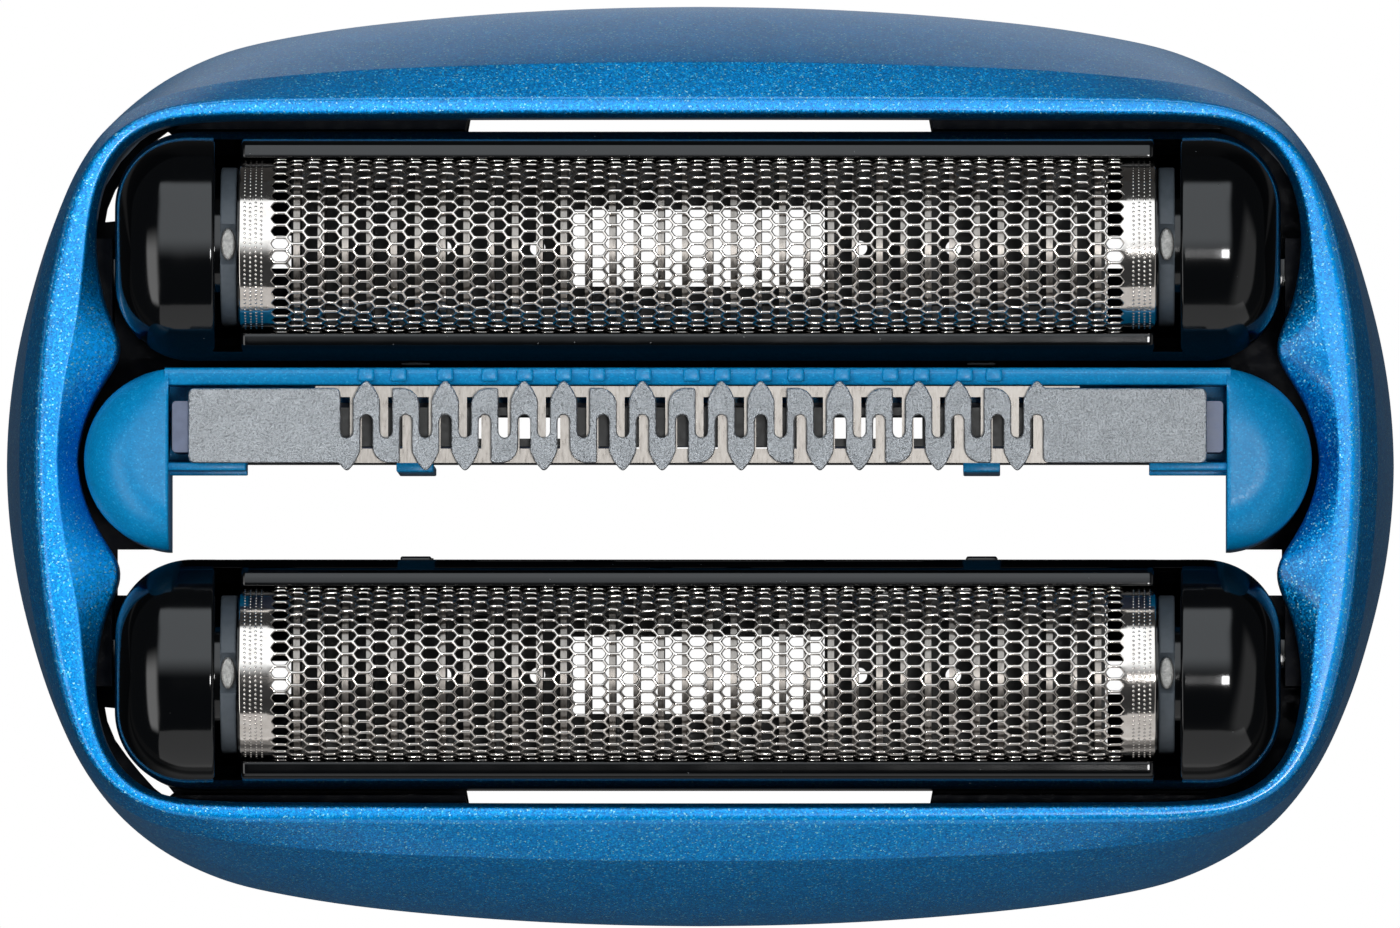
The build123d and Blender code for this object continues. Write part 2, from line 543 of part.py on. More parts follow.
# ---------------------------------------------------------------- trimmer comb
def tooth(x, kind, side):
    """Tooth outline about x; side +1 points to the rear edge of the plate, -1 to the front edge."""
    root = up_slot_y - comb_y
    top = comb_y1 - comb_y
    tip = tip_y - comb_y
    if kind == "P":
        pts = [(-tooth_hw, root), (-tooth_hw, 0.96), (-0.33, 1.36), (-0.09, tip - 0.05), (0, tip), (0.09, tip - 0.05),
               (0.33, 1.36), (tooth_hw, 0.96), (tooth_hw, root)]
    else:
        pts = [(-tooth_hw, root), (-tooth_hw, 0.85), (-0.44, 1.1), (-0.24, 1.29), (0.02, top), (tooth_hw, top),
               (tooth_hw, root)]
        if kind == "L":
            pts = [(-u, v) for u, v in reversed(pts)]
    return [(x + u, comb_y + side * v) for u, v in pts]


rear_teeth = "PLPRPPLPRPPLPRPPLP"
front_teeth = "PRPPLPRPPLPRPPLPRP"
with BuildPart() as trimmer_comb:
    with BuildSketch(Plane.XY.offset(comb_z0)):
        first_front = tooth_first - tooth_pitch / 2
        last_rear = tooth_first + tooth_pitch * (tooth_n - 1)
        for xa, xb in ((comb_x0, first_front - slot_hw), (last_rear + slot_hw, comb_x1)):
            with Locations(((xa + xb) / 2, (comb_y0 + comb_y1) / 2)):
                RectangleRounded(xb - xa, comb_y1 - comb_y0, 0.2)
        for i in range(tooth_n):
            with BuildLine():
                Polyline(*tooth(tooth_first + i * tooth_pitch, rear_teeth[i], 1), close=True)
            make_face()
            with BuildLine():
                Polyline(*tooth(first_front + i * tooth_pitch, front_teeth[i], -1), close=True)
            make_face()
        for i in range(tooth_n):
            for x, y0, y1 in ((tooth_first + i * tooth_pitch, -2.0, low_slot_y),
                              (first_front + i * tooth_pitch, up_slot_y, 4.4)):
                with Locations((x, (y0 + y1) / 2)):
                    RectangleRounded(2 * slot_hw, y1 - y0, slot_hw - 0.01, mode=Mode.SUBTRACT)
    extrude(amount=comb_t)
trimmer_comb.part.label = "trimmer_comb"
export_step(trimmer_comb.part, "parts/trimmer_comb.step")

# ---------------------------------------------------------------- trimmer blade, bed, driver and springs
with BuildPart() as trimmer_blade:
    with BuildSketch(Plane.XY.offset(blade_z0)):
        with Locations((0, 1.335)):
            Rectangle(2 * tblade_hl, 2.97)
        with Locations((0, 1.4)):
            with GridLocations(1.018, 1, 28, 1):
                Rectangle(0.56, 2.0, mode=Mode.SUBTRACT)
    extrude(amount=blade_z1 - blade_z0)
trimmer_blade.part.label = "trimmer_blade"
export_step(trimmer_blade.part, "parts/trimmer_blade.step")

with BuildPart() as comb_bed:
    block(-20.35, 20.35, 0.26, 2.24, bed_z0, bed_z1)
    block(-3.2, 3.2, 0.4, 2.1, bed_z0 - 0.1, bed_z1 + 0.1, mode=Mode.SUBTRACT)
    for sx in (-1, 1):
        xa, xb = sorted((sx * 4.9, sx * 8.7))
        block(xa, xb, 0.65, 1.85, bed_z0 - 0.1, bed_z1 + 0.1, mode=Mode.SUBTRACT)
        xa, xb = sorted((sx * 15.6, sx * 20.35))
        block(xa, xb, 0.26, 2.24, bed_z0, comb_z0)
    fillet(comb_bed.edges().filter_by(Axis.Z).filter_by(lambda e: abs(e.center().X) > 20), 0.15)
comb_bed.part.label = "comb_bed"
export_step(comb_bed.part, "parts/comb_bed.step")

with BuildPart() as trimmer_blade_driver:
    block(-14.4, 14.4, 0.5, 2.0, driver_z0, blade_z0)
    for sx in (-1, 1):
        xa, xb = sorted((sx * 4.9, sx * 8.7))
        block(xa, xb, 0.8, 1.7, driver_z0 - 0.1, blade_z0 + 0.1, mode=Mode.SUBTRACT)
        xa, xb = sorted((sx * 1.05, sx * 2.0))
        block(xa, xb, 0.6, 1.9, 8.4, driver_z0 + 0.2)
trimmer_blade_driver.part.label = "trimmer_blade_driver"
export_step(trimmer_blade_driver.part, "parts/trimmer_blade_driver.step")

with BuildPart() as trimmer_blade_springs:
    for sx in (-1, 1):
        with BuildSketch(Plane.XZ.offset(-1.7)):
            with BuildLine():
                x0, x1 = sx * 9.3, sx * 14.3
                xm = (x0 + x1) / 2
                ThreePointArc((x0, bed_z1 + 0.01), (xm, bed_z1 + 0.38), (x1, bed_z1 + 0.01))
                Line((x1, bed_z1 + 0.01), (x1, bed_z1 + 0.11))
                ThreePointArc((x1, bed_z1 + 0.11), (xm, bed_z1 + 0.48), (x0, bed_z1 + 0.11))
                Line((x0, bed_z1 + 0.11), (x0, bed_z1 + 0.01))
            make_face()
        extrude(amount=0.9)
trimmer_blade_springs.part.label = "trimmer_blade_springs"
export_step(trimmer_blade_springs.part, "parts/trimmer_blade_springs.step")

tspring_z0 = floor_z1 + tspring_wire + 0.02
tspring_len = tspring_top - tspring_wire - 0.02 - tspring_z0
with BuildPart() as trimmer_springs:
    for sx in (-1, 1):
        with BuildLine() as coil:
            Helix(tspring_len / 7, tspring_len, tspring_r, center=(sx * tspring_x, 0, tspring_z0))
        with BuildSketch(Plane(origin=coil.line @ 0, z_dir=coil.line % 0)):
            Circle(tspring_wire)
        sweep(path=coil.line, is_frenet=True)
trimmer_springs.part.label = "trimmer_springs"
export_step(trimmer_springs.part, "parts/trimmer_springs.step")
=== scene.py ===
import json
import math
import random

import bmesh
import bpy
from mathutils import Matrix, Vector
from mathutils.geometry import delaunay_2d_cdt

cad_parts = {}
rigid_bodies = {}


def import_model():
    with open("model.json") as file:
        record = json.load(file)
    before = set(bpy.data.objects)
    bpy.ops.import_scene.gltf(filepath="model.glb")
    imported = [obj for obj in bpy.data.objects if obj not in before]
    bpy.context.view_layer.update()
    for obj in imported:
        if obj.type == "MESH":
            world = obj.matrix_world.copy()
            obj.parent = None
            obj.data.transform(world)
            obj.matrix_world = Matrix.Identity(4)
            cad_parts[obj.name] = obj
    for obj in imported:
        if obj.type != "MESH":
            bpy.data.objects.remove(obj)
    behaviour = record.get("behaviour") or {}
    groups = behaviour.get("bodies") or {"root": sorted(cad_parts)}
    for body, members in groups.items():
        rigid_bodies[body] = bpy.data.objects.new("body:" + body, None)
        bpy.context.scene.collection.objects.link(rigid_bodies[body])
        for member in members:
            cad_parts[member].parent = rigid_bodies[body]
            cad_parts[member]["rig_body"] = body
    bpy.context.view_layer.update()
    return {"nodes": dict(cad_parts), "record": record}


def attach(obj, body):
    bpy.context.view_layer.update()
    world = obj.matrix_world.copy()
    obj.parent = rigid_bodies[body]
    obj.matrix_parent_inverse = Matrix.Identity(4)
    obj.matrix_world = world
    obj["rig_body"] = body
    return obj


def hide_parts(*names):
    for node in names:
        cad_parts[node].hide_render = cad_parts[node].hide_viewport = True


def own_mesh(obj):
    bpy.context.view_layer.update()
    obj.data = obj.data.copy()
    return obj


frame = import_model()
nodes = frame["nodes"]
MM = 0.001

# ---------------------------------------------------------------- node helpers


def new_material(name):
    m = bpy.data.materials.new(name)
    m.use_nodes = True
    t = m.node_tree
    t.nodes.clear()
    out = t.nodes.new("ShaderNodeOutputMaterial")
    bsdf = t.nodes.new("ShaderNodeBsdfPrincipled")
    t.links.new(bsdf.outputs["BSDF"], out.inputs["Surface"])
    return m, t, bsdf


def put(t, kind, **values):
    n = t.nodes.new(kind)
    for k, v in values.items():
        setattr(n, k, v)
    return n


def coords(t):
    return put(t, "ShaderNodeTexCoord").outputs["Object"]


def noise(t, size_mm, detail=2.0, rough=0.5, stretch=None):
    """Noise whose blotches are about size_mm across."""
    n = put(t, "ShaderNodeTexNoise")
    n.inputs["Scale"].default_value = 1.0 / (size_mm * MM)
    n.inputs["Detail"].default_value = detail
    n.inputs["Roughness"].default_value = rough
    src = coords(t)
    if stretch:
        mp = put(t, "ShaderNodeMapping")
        mp.inputs["Scale"].default_value = stretch
        t.links.new(src, mp.inputs["Vector"])
        src = mp.outputs["Vector"]
    t.links.new(src, n.inputs["Vector"])
    return n


def cells(t, size_mm, feature="F1", randomness=1.0):
    v = put(t, "ShaderNodeTexVoronoi", feature=feature)
    v.inputs["Scale"].default_value = 1.0 / (size_mm * MM)
    v.inputs["Randomness"].default_value = randomness
    t.links.new(coords(t), v.inputs["Vector"])
    return v


def ramp(t, src, stops, mode="LINEAR"):
    r = put(t, "ShaderNodeValToRGB")
    r.color_ramp.interpolation = mode
    e = r.color_ramp.elements
    while len(e) > 1:
        e.remove(e[-1])
    e[0].position, e[0].color = stops[0][0], (*stops[0][1], 1)
    for p, c in stops[1:]:
        x = e.new(p)
        x.color = (*c, 1)
    t.links.new(src, r.inputs["Fac"])
    return r.outputs["Color"]


def grey(v):
    return (v, v, v)


def mix_color(t, fac, a, b, blend="MIX"):
    m = put(t, "ShaderNodeMix", data_type="RGBA", blend_type=blend)
    ins = [s for s in m.inputs if s.enabled]
    outs = [s for s in m.outputs if s.enabled]
    for sock, val in zip(ins, (fac, a, b)):
        if isinstance(val, (int, float)):
            sock.default_value = val
        elif isinstance(val, tuple):
            sock.default_value = (*val, 1)
        else:
            t.links.new(val, sock)
    return outs[0]


def math_node(t, op, a, b=None, clamp=False):
    m = put(t, "ShaderNodeMath", operation=op, use_clamp=clamp)
    for sock, val in zip(m.inputs, (a, b)):
        if val is None:
            continue
        if isinstance(val, (int, float)):
            sock.default_value = val
        else:
            t.links.new(val, sock)
    return m.outputs[0]


def bump(t, height, strength, distance_mm, normal=None):
    b = put(t, "ShaderNodeBump")
    b.inputs["Strength"].default_value = strength
    b.inputs["Distance"].default_value = distance_mm * MM
    t.links.new(height, b.inputs["Height"])
    if normal is not None:
        t.links.new(normal, b.inputs["Normal"])
    return b.outputs["Normal"]


def flake_normal(t, cell_color, amount):
    """Tilts each flake of the paint by its own small angle."""
    sub = put(t, "ShaderNodeVectorMath", operation="SUBTRACT")
    t.links.new(cell_color, sub.inputs[0])
    sub.inputs[1].default_value = (0.5, 0.5, 0.5)
    sc = put(t, "ShaderNodeVectorMath", operation="SCALE")
    t.links.new(sub.outputs[0], sc.inputs[0])
    sc.inputs["Scale"].default_value = amount
    geo = put(t, "ShaderNodeNewGeometry")
    add = put(t, "ShaderNodeVectorMath", operation="ADD")
    t.links.new(sc.outputs[0], add.inputs[0])
    t.links.new(geo.outputs["Normal"], add.inputs[1])
    nrm = put(t, "ShaderNodeVectorMath", operation="NORMALIZE")
    t.links.new(add.outputs[0], nrm.inputs[0])
    return nrm.outputs[0]


# ---------------------------------------------------------------- materials
def mat_frame_paint():
    m, t, b = new_material("frame_paint")
    big = cells(t, 0.055)
    sep = put(t, "ShaderNodeSeparateColor")
    t.links.new(big.outputs["Color"], sep.inputs["Color"])
    flake = ramp(t, sep.outputs["Red"], [(0.0, (0.0, 0.25, 0.68)), (0.6, (0.0, 0.335, 0.86)),
                                         (0.88, (0.002, 0.44, 0.92)), (0.96, (0.08, 0.62, 0.97)), (1.0, (0.45, 0.90, 1.0))])
    cloud = noise(t, 1.6, 3.0)
    tone = ramp(t, cloud.outputs["Fac"], [(0.3, grey(0.88)), (0.7, grey(1.0))])
    t.links.new(mix_color(t, 1.0, flake, tone, "MULTIPLY"), b.inputs["Base Color"])
    b.inputs["Metallic"].default_value = 1.0
    t.links.new(ramp(t, sep.outputs["Green"], [(0.0, grey(0.45)), (1.0, grey(0.58))]), b.inputs["Roughness"])
    b.inputs["Coat Weight"].default_value = 0.75
    b.inputs["Coat IOR"].default_value = 1.5
    b.inputs["Coat Roughness"].default_value = 0.16
    t.links.new(flake_normal(t, big.outputs["Color"], 0.32), b.inputs["Normal"])
    return m


def mat_trimmer_blue():
    m, t, b = new_material("trimmer_blue")
    fine = cells(t, 0.06)
    sep = put(t, "ShaderNodeSeparateColor")
    t.links.new(fine.outputs["Color"], sep.inputs["Color"])
    flake = ramp(t, sep.outputs["Red"], [(0.0, (0.0, 0.235, 0.55)), (0.7, (0.0, 0.29, 0.64)), (0.93, (0.0, 0.325, 0.69)), (1.0, (0.03, 0.40, 0.76))])
    cloud = noise(t, 1.2, 3.0)
    tone = ramp(t, cloud.outputs["Fac"], [(0.3, grey(0.92)), (0.7, grey(1.0))])
    t.links.new(mix_color(t, 1.0, flake, tone, "MULTIPLY"), b.inputs["Base Color"])
    t.links.new(ramp(t, sep.outputs["Green"], [(0.0, grey(0.28)), (1.0, grey(0.40))]), b.inputs["Roughness"])
    b.inputs["Specular IOR Level"].default_value = 0.34
    grain = noise(t, 0.16, 3.0)
    t.links.new(bump(t, grain.outputs["Fac"], 0.12, 0.012), b.inputs["Normal"])
    return m


def mat_holder_black():
    m, t, b = new_material("holder_black")
    speck = cells(t, 0.34)
    grain = noise(t, 0.9, 2.0)
    near = ramp(t, speck.outputs["Distance"], [(0.0, grey(1.0)), (0.055, grey(1.0)), (0.09, grey(0.0))])
    sep = put(t, "ShaderNodeSeparateColor")
    t.links.new(speck.outputs["Color"], sep.inputs["Color"])
    few = ramp(t, sep.outputs["Blue"], [(0.0, grey(0.0)), (0.9, grey(0.0)), (0.93, grey(1.0))])
    patch = ramp(t, grain.outputs["Fac"], [(0.45, grey(0.0)), (0.6, grey(1.0))])
    dust = math_node(t, "MULTIPLY", math_node(t, "MULTIPLY", near, few), patch)
    t.links.new(mix_color(t, dust, (0.0010, 0.0013, 0.0018), (0.16, 0.165, 0.17)), b.inputs["Base Color"])
    wave = noise(t, 2.4, 2.0)
    t.links.new(mix_color(t, dust, ramp(t, wave.outputs["Fac"], [(0.3, grey(0.07)), (0.75, grey(0.11))]), grey(0.6)),
                b.inputs["Roughness"])
    b.inputs["IOR"].default_value = 1.5
    t.links.new(bump(t, dust, 0.6, 0.01, bump(t, wave.outputs["Fac"], 0.04, 0.05)), b.inputs["Normal"])
    return m


def mat_foil_nickel():
    m, t, b = new_material("foil_nickel")
    n = noise(t, 0.5, 4.0)
    t.links.new(ramp(t, n.outputs["Fac"], [(0.3, (0.60, 0.555, 0.515)), (0.7, (0.70, 0.66, 0.62))]), b.inputs["Base Color"])
    b.inputs["Metallic"].default_value = 1.0
    fine = noise(t, 0.05, 3.0)
    t.links.new(ramp(t, fine.outputs["Fac"], [(0.3, grey(0.06)), (0.7, grey(0.13))]), b.inputs["Roughness"])
    t.links.new(bump(t, fine.outputs["Fac"], 0.08, 0.003), b.inputs["Normal"])
    return m


def mat_strip_grey():
    m, t, b = new_material("strip_grey")
    n = noise(t, 0.25, 4.0)
    t.links.new(ramp(t, n.outputs["Fac"], [(0.3, (0.062, 0.076, 0.090)), (0.7, (0.080, 0.096, 0.114))]), b.inputs["Base Color"])
    t.links.new(ramp(t, n.outputs["Fac"], [(0.3, grey(0.42)), (0.7, grey(0.55))]), b.inputs["Roughness"])
    fine = noise(t, 0.05, 3.0)
    t.links.new(bump(t, fine.outputs["Fac"], 0.15, 0.006), b.inputs["Normal"])
    return m


def mat_stud_silver():
    m, t, b = new_material("stud_silver")
    n = noise(t, 0.10, 5.0, 0.65)
    t.links.new(ramp(t, n.outputs["Fac"], [(0.3, (0.26, 0.26, 0.25)), (0.7, (0.52, 0.51, 0.49))]), b.inputs["Base Color"])
    b.inputs["Metallic"].default_value = 0.9
    t.links.new(ramp(t, n.outputs["Fac"], [(0.3, grey(0.55)), (0.7, grey(0.38))]), b.inputs["Roughness"])
    t.links.new(bump(t, n.outputs["Fac"], 0.8, 0.05), b.inputs["Normal"])
    return m


def mat_lamella_steel():
    m, t, b = new_material("lamella_steel")
    n = noise(t, 0.12, 4.0, 0.6, (1.0, 0.25, 1.0))
    t.links.new(ramp(t, n.outputs["Fac"], [(0.3, (0.20, 0.182, 0.165)), (0.7, (0.34, 0.315, 0.29))]), b.inputs["Base Color"])
    b.inputs["Metallic"].default_value = 1.0
    t.links.new(ramp(t, n.outputs["Fac"], [(0.3, grey(0.25)), (0.7, grey(0.40))]), b.inputs["Roughness"])
    t.links.new(bump(t, n.outputs["Fac"], 0.25, 0.01), b.inputs["Normal"])
    return m


def mat_carrier_dark():
    m, t, b = new_material("carrier_dark")
    n = noise(t, 0.3, 4.0)
    t.links.new(ramp(t, n.outputs["Fac"], [(0.3, (0.010, 0.009, 0.008)), (0.7, (0.022, 0.020, 0.018))]), b.inputs["Base Color"])
    t.links.new(ramp(t, n.outputs["Fac"], [(0.3, grey(0.40)), (0.7, grey(0.55))]), b.inputs["Roughness"])
    t.links.new(bump(t, n.outputs["Fac"], 0.2, 0.02), b.inputs["Normal"])
    return m


def mat_comb_steel():
    m, t, b = new_material("comb_steel")
    n = noise(t, 0.085, 3.0, 0.55)
    big = noise(t, 0.7, 2.0)
    body = ramp(t, n.outputs["Fac"], [(0.3, (0.42, 0.44, 0.465)), (0.7, (0.66, 0.69, 0.72))])
    tone = ramp(t, big.outputs["Fac"], [(0.3, grey(0.9)), (0.7, grey(1.0))])
    t.links.new(mix_color(t, 1.0, body, tone, "MULTIPLY"), b.inputs["Base Color"])
    b.inputs["Metallic"].default_value = 1.0
    t.links.new(ramp(t, n.outputs["Fac"], [(0.3, grey(0.30)), (0.7, grey(0.42))]), b.inputs["Roughness"])
    t.links.new(bump(t, n.outputs["Fac"], 1.0, 0.09), b.inputs["Normal"])
    return m


def mat_bed_grey():
    m, t, b = new_material("bed_grey")
    n = noise(t, 0.4, 3.0)
    t.links.new(ramp(t, n.outputs["Fac"], [(0.3, (0.095, 0.12, 0.20)), (0.7, (0.125, 0.155, 0.25))]), b.inputs["Base Color"])
    t.links.new(ramp(t, n.outputs["Fac"], [(0.3, grey(0.28)), (0.7, grey(0.40))]), b.inputs["Roughness"])
    t.links.new(bump(t, n.outputs["Fac"], 0.12, 0.02), b.inputs["Normal"])
    return m


def mat_navy_plastic():
    m, t, b = new_material("navy_plastic")
    n = noise(t, 0.5, 4.0)
    t.links.new(ramp(t, n.outputs["Fac"], [(0.3, (0.0010, 0.0022, 0.006)), (0.7, (0.0018, 0.0036, 0.010))]), b.inputs["Base Color"])
    t.links.new(ramp(t, n.outputs["Fac"], [(0.3, grey(0.42)), (0.7, grey(0.56))]), b.inputs["Roughness"])
    b.inputs["Specular IOR Level"].default_value = 0.12
    t.links.new(bump(t, n.outputs["Fac"], 0.1, 0.02), b.inputs["Normal"])
    return m


def mat_spring_steel():
    m, t, b = new_material("spring_steel")
    n = noise(t, 0.08, 3.0)
    t.links.new(ramp(t, n.outputs["Fac"], [(0.3, (0.42, 0.41, 0.40)), (0.7, (0.60, 0.59, 0.57))]), b.inputs["Base Color"])
    b.inputs["Metallic"].default_value = 1.0
    t.links.new(ramp(t, n.outputs["Fac"], [(0.3, grey(0.22)), (0.7, grey(0.34))]), b.inputs["Roughness"])
    return m


MAT = {f.__name__[4:]: f() for f in (
    mat_frame_paint, mat_trimmer_blue, mat_holder_black, mat_foil_nickel, mat_strip_grey, mat_stud_silver,
    mat_lamella_steel, mat_carrier_dark, mat_comb_steel, mat_bed_grey, mat_navy_plastic, mat_spring_steel)}
NODE_SLOT = {}
for row in frame["record"]["materials"]:
    for n in row.get("nodes", []):
        NODE_SLOT[n] = row["slot"]
for n, o in nodes.items():
    slot = NODE_SLOT.get(n) or o.data.materials[0].name
    NODE_SLOT[n] = slot
    for i in range(len(o.data.materials)):
        o.data.materials[i] = MAT[slot]


# ---------------------------------------------------------------- mesh helpers
def new_piece(name, bm, node, smooth_angle=None):
    """Mesh object that stands for a CAD node."""
    me = bpy.data.meshes.new(name)
    bm.to_mesh(me)
    bm.free()
    for p in me.polygons:
        p.use_smooth = True
    if smooth_angle is not None:
        me.set_sharp_from_angle(angle=math.radians(smooth_angle))
    o = bpy.data.objects.new(name, me)
    bpy.context.scene.collection.objects.link(o)
    me.materials.append(MAT[NODE_SLOT[node]])
    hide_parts(node)
    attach(o, nodes[node]["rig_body"])
    return o


# ---------------------------------------------------------------- outer frame: swept shell with rounded edges
base_line = [(0, 17.98), (5.8, 17.84), (10.47, 17.51), (15.14, 16.95), (18.7, 16.15), (20.9, 15.1),
             (22.6, 13.75), (24.0, 11.95), (25.2, 9.5), (26.1, 6.8), (26.8, 3.7), (27.1, 0)]
crease_line = [(0, 15.52), (8.9, 15.37), (15.5, 15.03), (19.6, 14.5), (21.6, 13.9), (23.0, 12.95),
               (24.1, 11.4), (25.05, 9.1), (25.75, 6.4), (26.2, 3.4), (26.38, 0)]
ridge_outer_line = [(0, 13.98), (9, 13.99), (15.4, 13.97), (18.9, 13.9), (21.0, 13.55), (22.5, 12.8),
                    (23.5, 11.75), (24.25, 10.3), (24.8, 8.4), (25.25, 6.0), (25.55, 3.2), (25.67, 0)]
ridge_inner_line = [(0, 13.45), (9, 13.44), (15.4, 13.41), (18.8, 13.37), (20.65, 13.2), (21.8, 12.76),
                    (22.64, 12.0), (23.24, 10.92), (23.6, 9.53), (23.8, 8.0), (24.1, 5.6), (24.6, 3.0), (24.86, 0)]
opening_line = [(0, 13.30), (9, 13.29), (15.4, 13.26), (18.6, 13.22), (20.45, 13.05), (21.48, 12.69), (22.32, 12.04),
                (22.94, 11.06), (23.3, 9.82), (23.42, 8.6), (23.3, 7.3), (22.98, 5.9), (22.5, 4.8), (22.42, 4.1),
                (22.85, 3.4), (23.6, 2.1), (24.1, 0)]
FAN_X, FAN_Y = 17.5, 6.5
RAYS = ([(17.5 * i / 26, 0, 0, 1) for i in range(26)]
        + [(FAN_X, FAN_Y, math.cos(math.radians(a)), math.sin(math.radians(a))) for a in range(90, -1, -2)]
        + [(0, FAN_Y * (1 - i / 30), 1, 0) for i in range(1, 31)])


def read_off(points, per=24):
    """Quarter outline as a smooth curve, read off along fixed rays so that all outlines match point for point."""
    n = len(points)
    ext = [(-points[1][0], points[1][1])] + list(points) + [(points[-2][0], -points[-2][1])]
    dense = []
    for i in range(1, n):
        p0, p1, p2, p3 = ext[i - 1], ext[i], ext[i + 1], ext[i + 2]
        d0, d1, d2 = (math.hypot(b[0] - a[0], b[1] - a[1]) for a, b in ((p0, p1), (p1, p2), (p2, p3)))
        m1 = [((p2[k] - p1[k]) / d1 * d0 + (p1[k] - p0[k]) / d0 * d1) / (d0 + d1) * d1 for k in (0, 1)]
        m2 = [((p3[k] - p2[k]) / d2 * d1 + (p2[k] - p1[k]) / d1 * d2) / (d1 + d2) * d1 for k in (0, 1)]
        for j in range(per):
            u = j / per
            h = (2 * u ** 3 - 3 * u ** 2 + 1, u ** 3 - 2 * u ** 2 + u, -2 * u ** 3 + 3 * u ** 2, u ** 3 - u ** 2)
            dense.append(tuple(h[0] * p1[k] + h[1] * m1[k] + h[2] * p2[k] + h[3] * m2[k] for k in (0, 1)))
    dense.append(points[-1])
    out = []
    for ox, oy, dx, dy in RAYS:
        best = None
        for (ax, ay), (bx, by) in zip(dense, dense[1:]):
            sa = (ax - ox) * dy - (ay - oy) * dx
            sb = (bx - ox) * dy - (by - oy) * dx
            if sa == sb or sa * sb > 1e-12:
                continue
            u = sa / (sa - sb)
            x, y = ax + u * (bx - ax), ay + u * (by - ay)
            reach = (x - ox) * dx + (y - oy) * dy
            if reach > 0 and (best is None or reach > best[0]):
                best = (reach, x, y)
        out.append((best[1], best[2]))
    return out


def inset(points, d):
    out = []
    n = len(points)
    for i, (x, y) in enumerate(points):
        if i == 0:
            out.append((x, y - d))
        elif i == n - 1:
            out.append((x - d, y))
        else:
            tx = points[i + 1][0] - points[i - 1][0]
            ty = points[i + 1][1] - points[i - 1][1]
            ln = math.hypot(tx, ty)
            out.append((x + d * ty / ln, y - d * tx / ln))
    return out


def soften(points, rounds=6):
    """Evens out small steps of a quarter outline that were read off at close rays."""
    pts = list(points)
    for _ in range(rounds):
        new = [pts[0]]
        for i in range(1, len(pts) - 1):
            new.append(tuple((pts[i - 1][k] + 2 * pts[i][k] + pts[i + 1][k]) / 4 for k in (0, 1)))
        new.append(pts[-1])
        pts = new
    return pts


def rounded(profile, radii, steps=5):
    """Closed section with its corners rounded; points are 3-D, in order."""
    out = []
    n = len(profile)
    for i in range(n):
        a, b, c = profile[i - 1], profile[i], profile[(i + 1) % n]
        r = radii[i]
        if r == 0:
            out.append(b)
            continue
        u, v = (a - b), (c - b)
        lu, lv = u.length, v.length
        u.normalize()
        v.normalize()
        ang = math.acos(max(-1.0, min(1.0, u.dot(v))))
        d = min(r / max(math.tan(ang / 2), 0.05), 0.46 * lu, 0.46 * lv)
        p0, p2 = b + u * d, b + v * d
        for s in range(steps + 1):
            w = s / steps
            out.append(p0 * (1 - w) ** 2 + b * (2 * w * (1 - w)) + p2 * w * w)
    return out


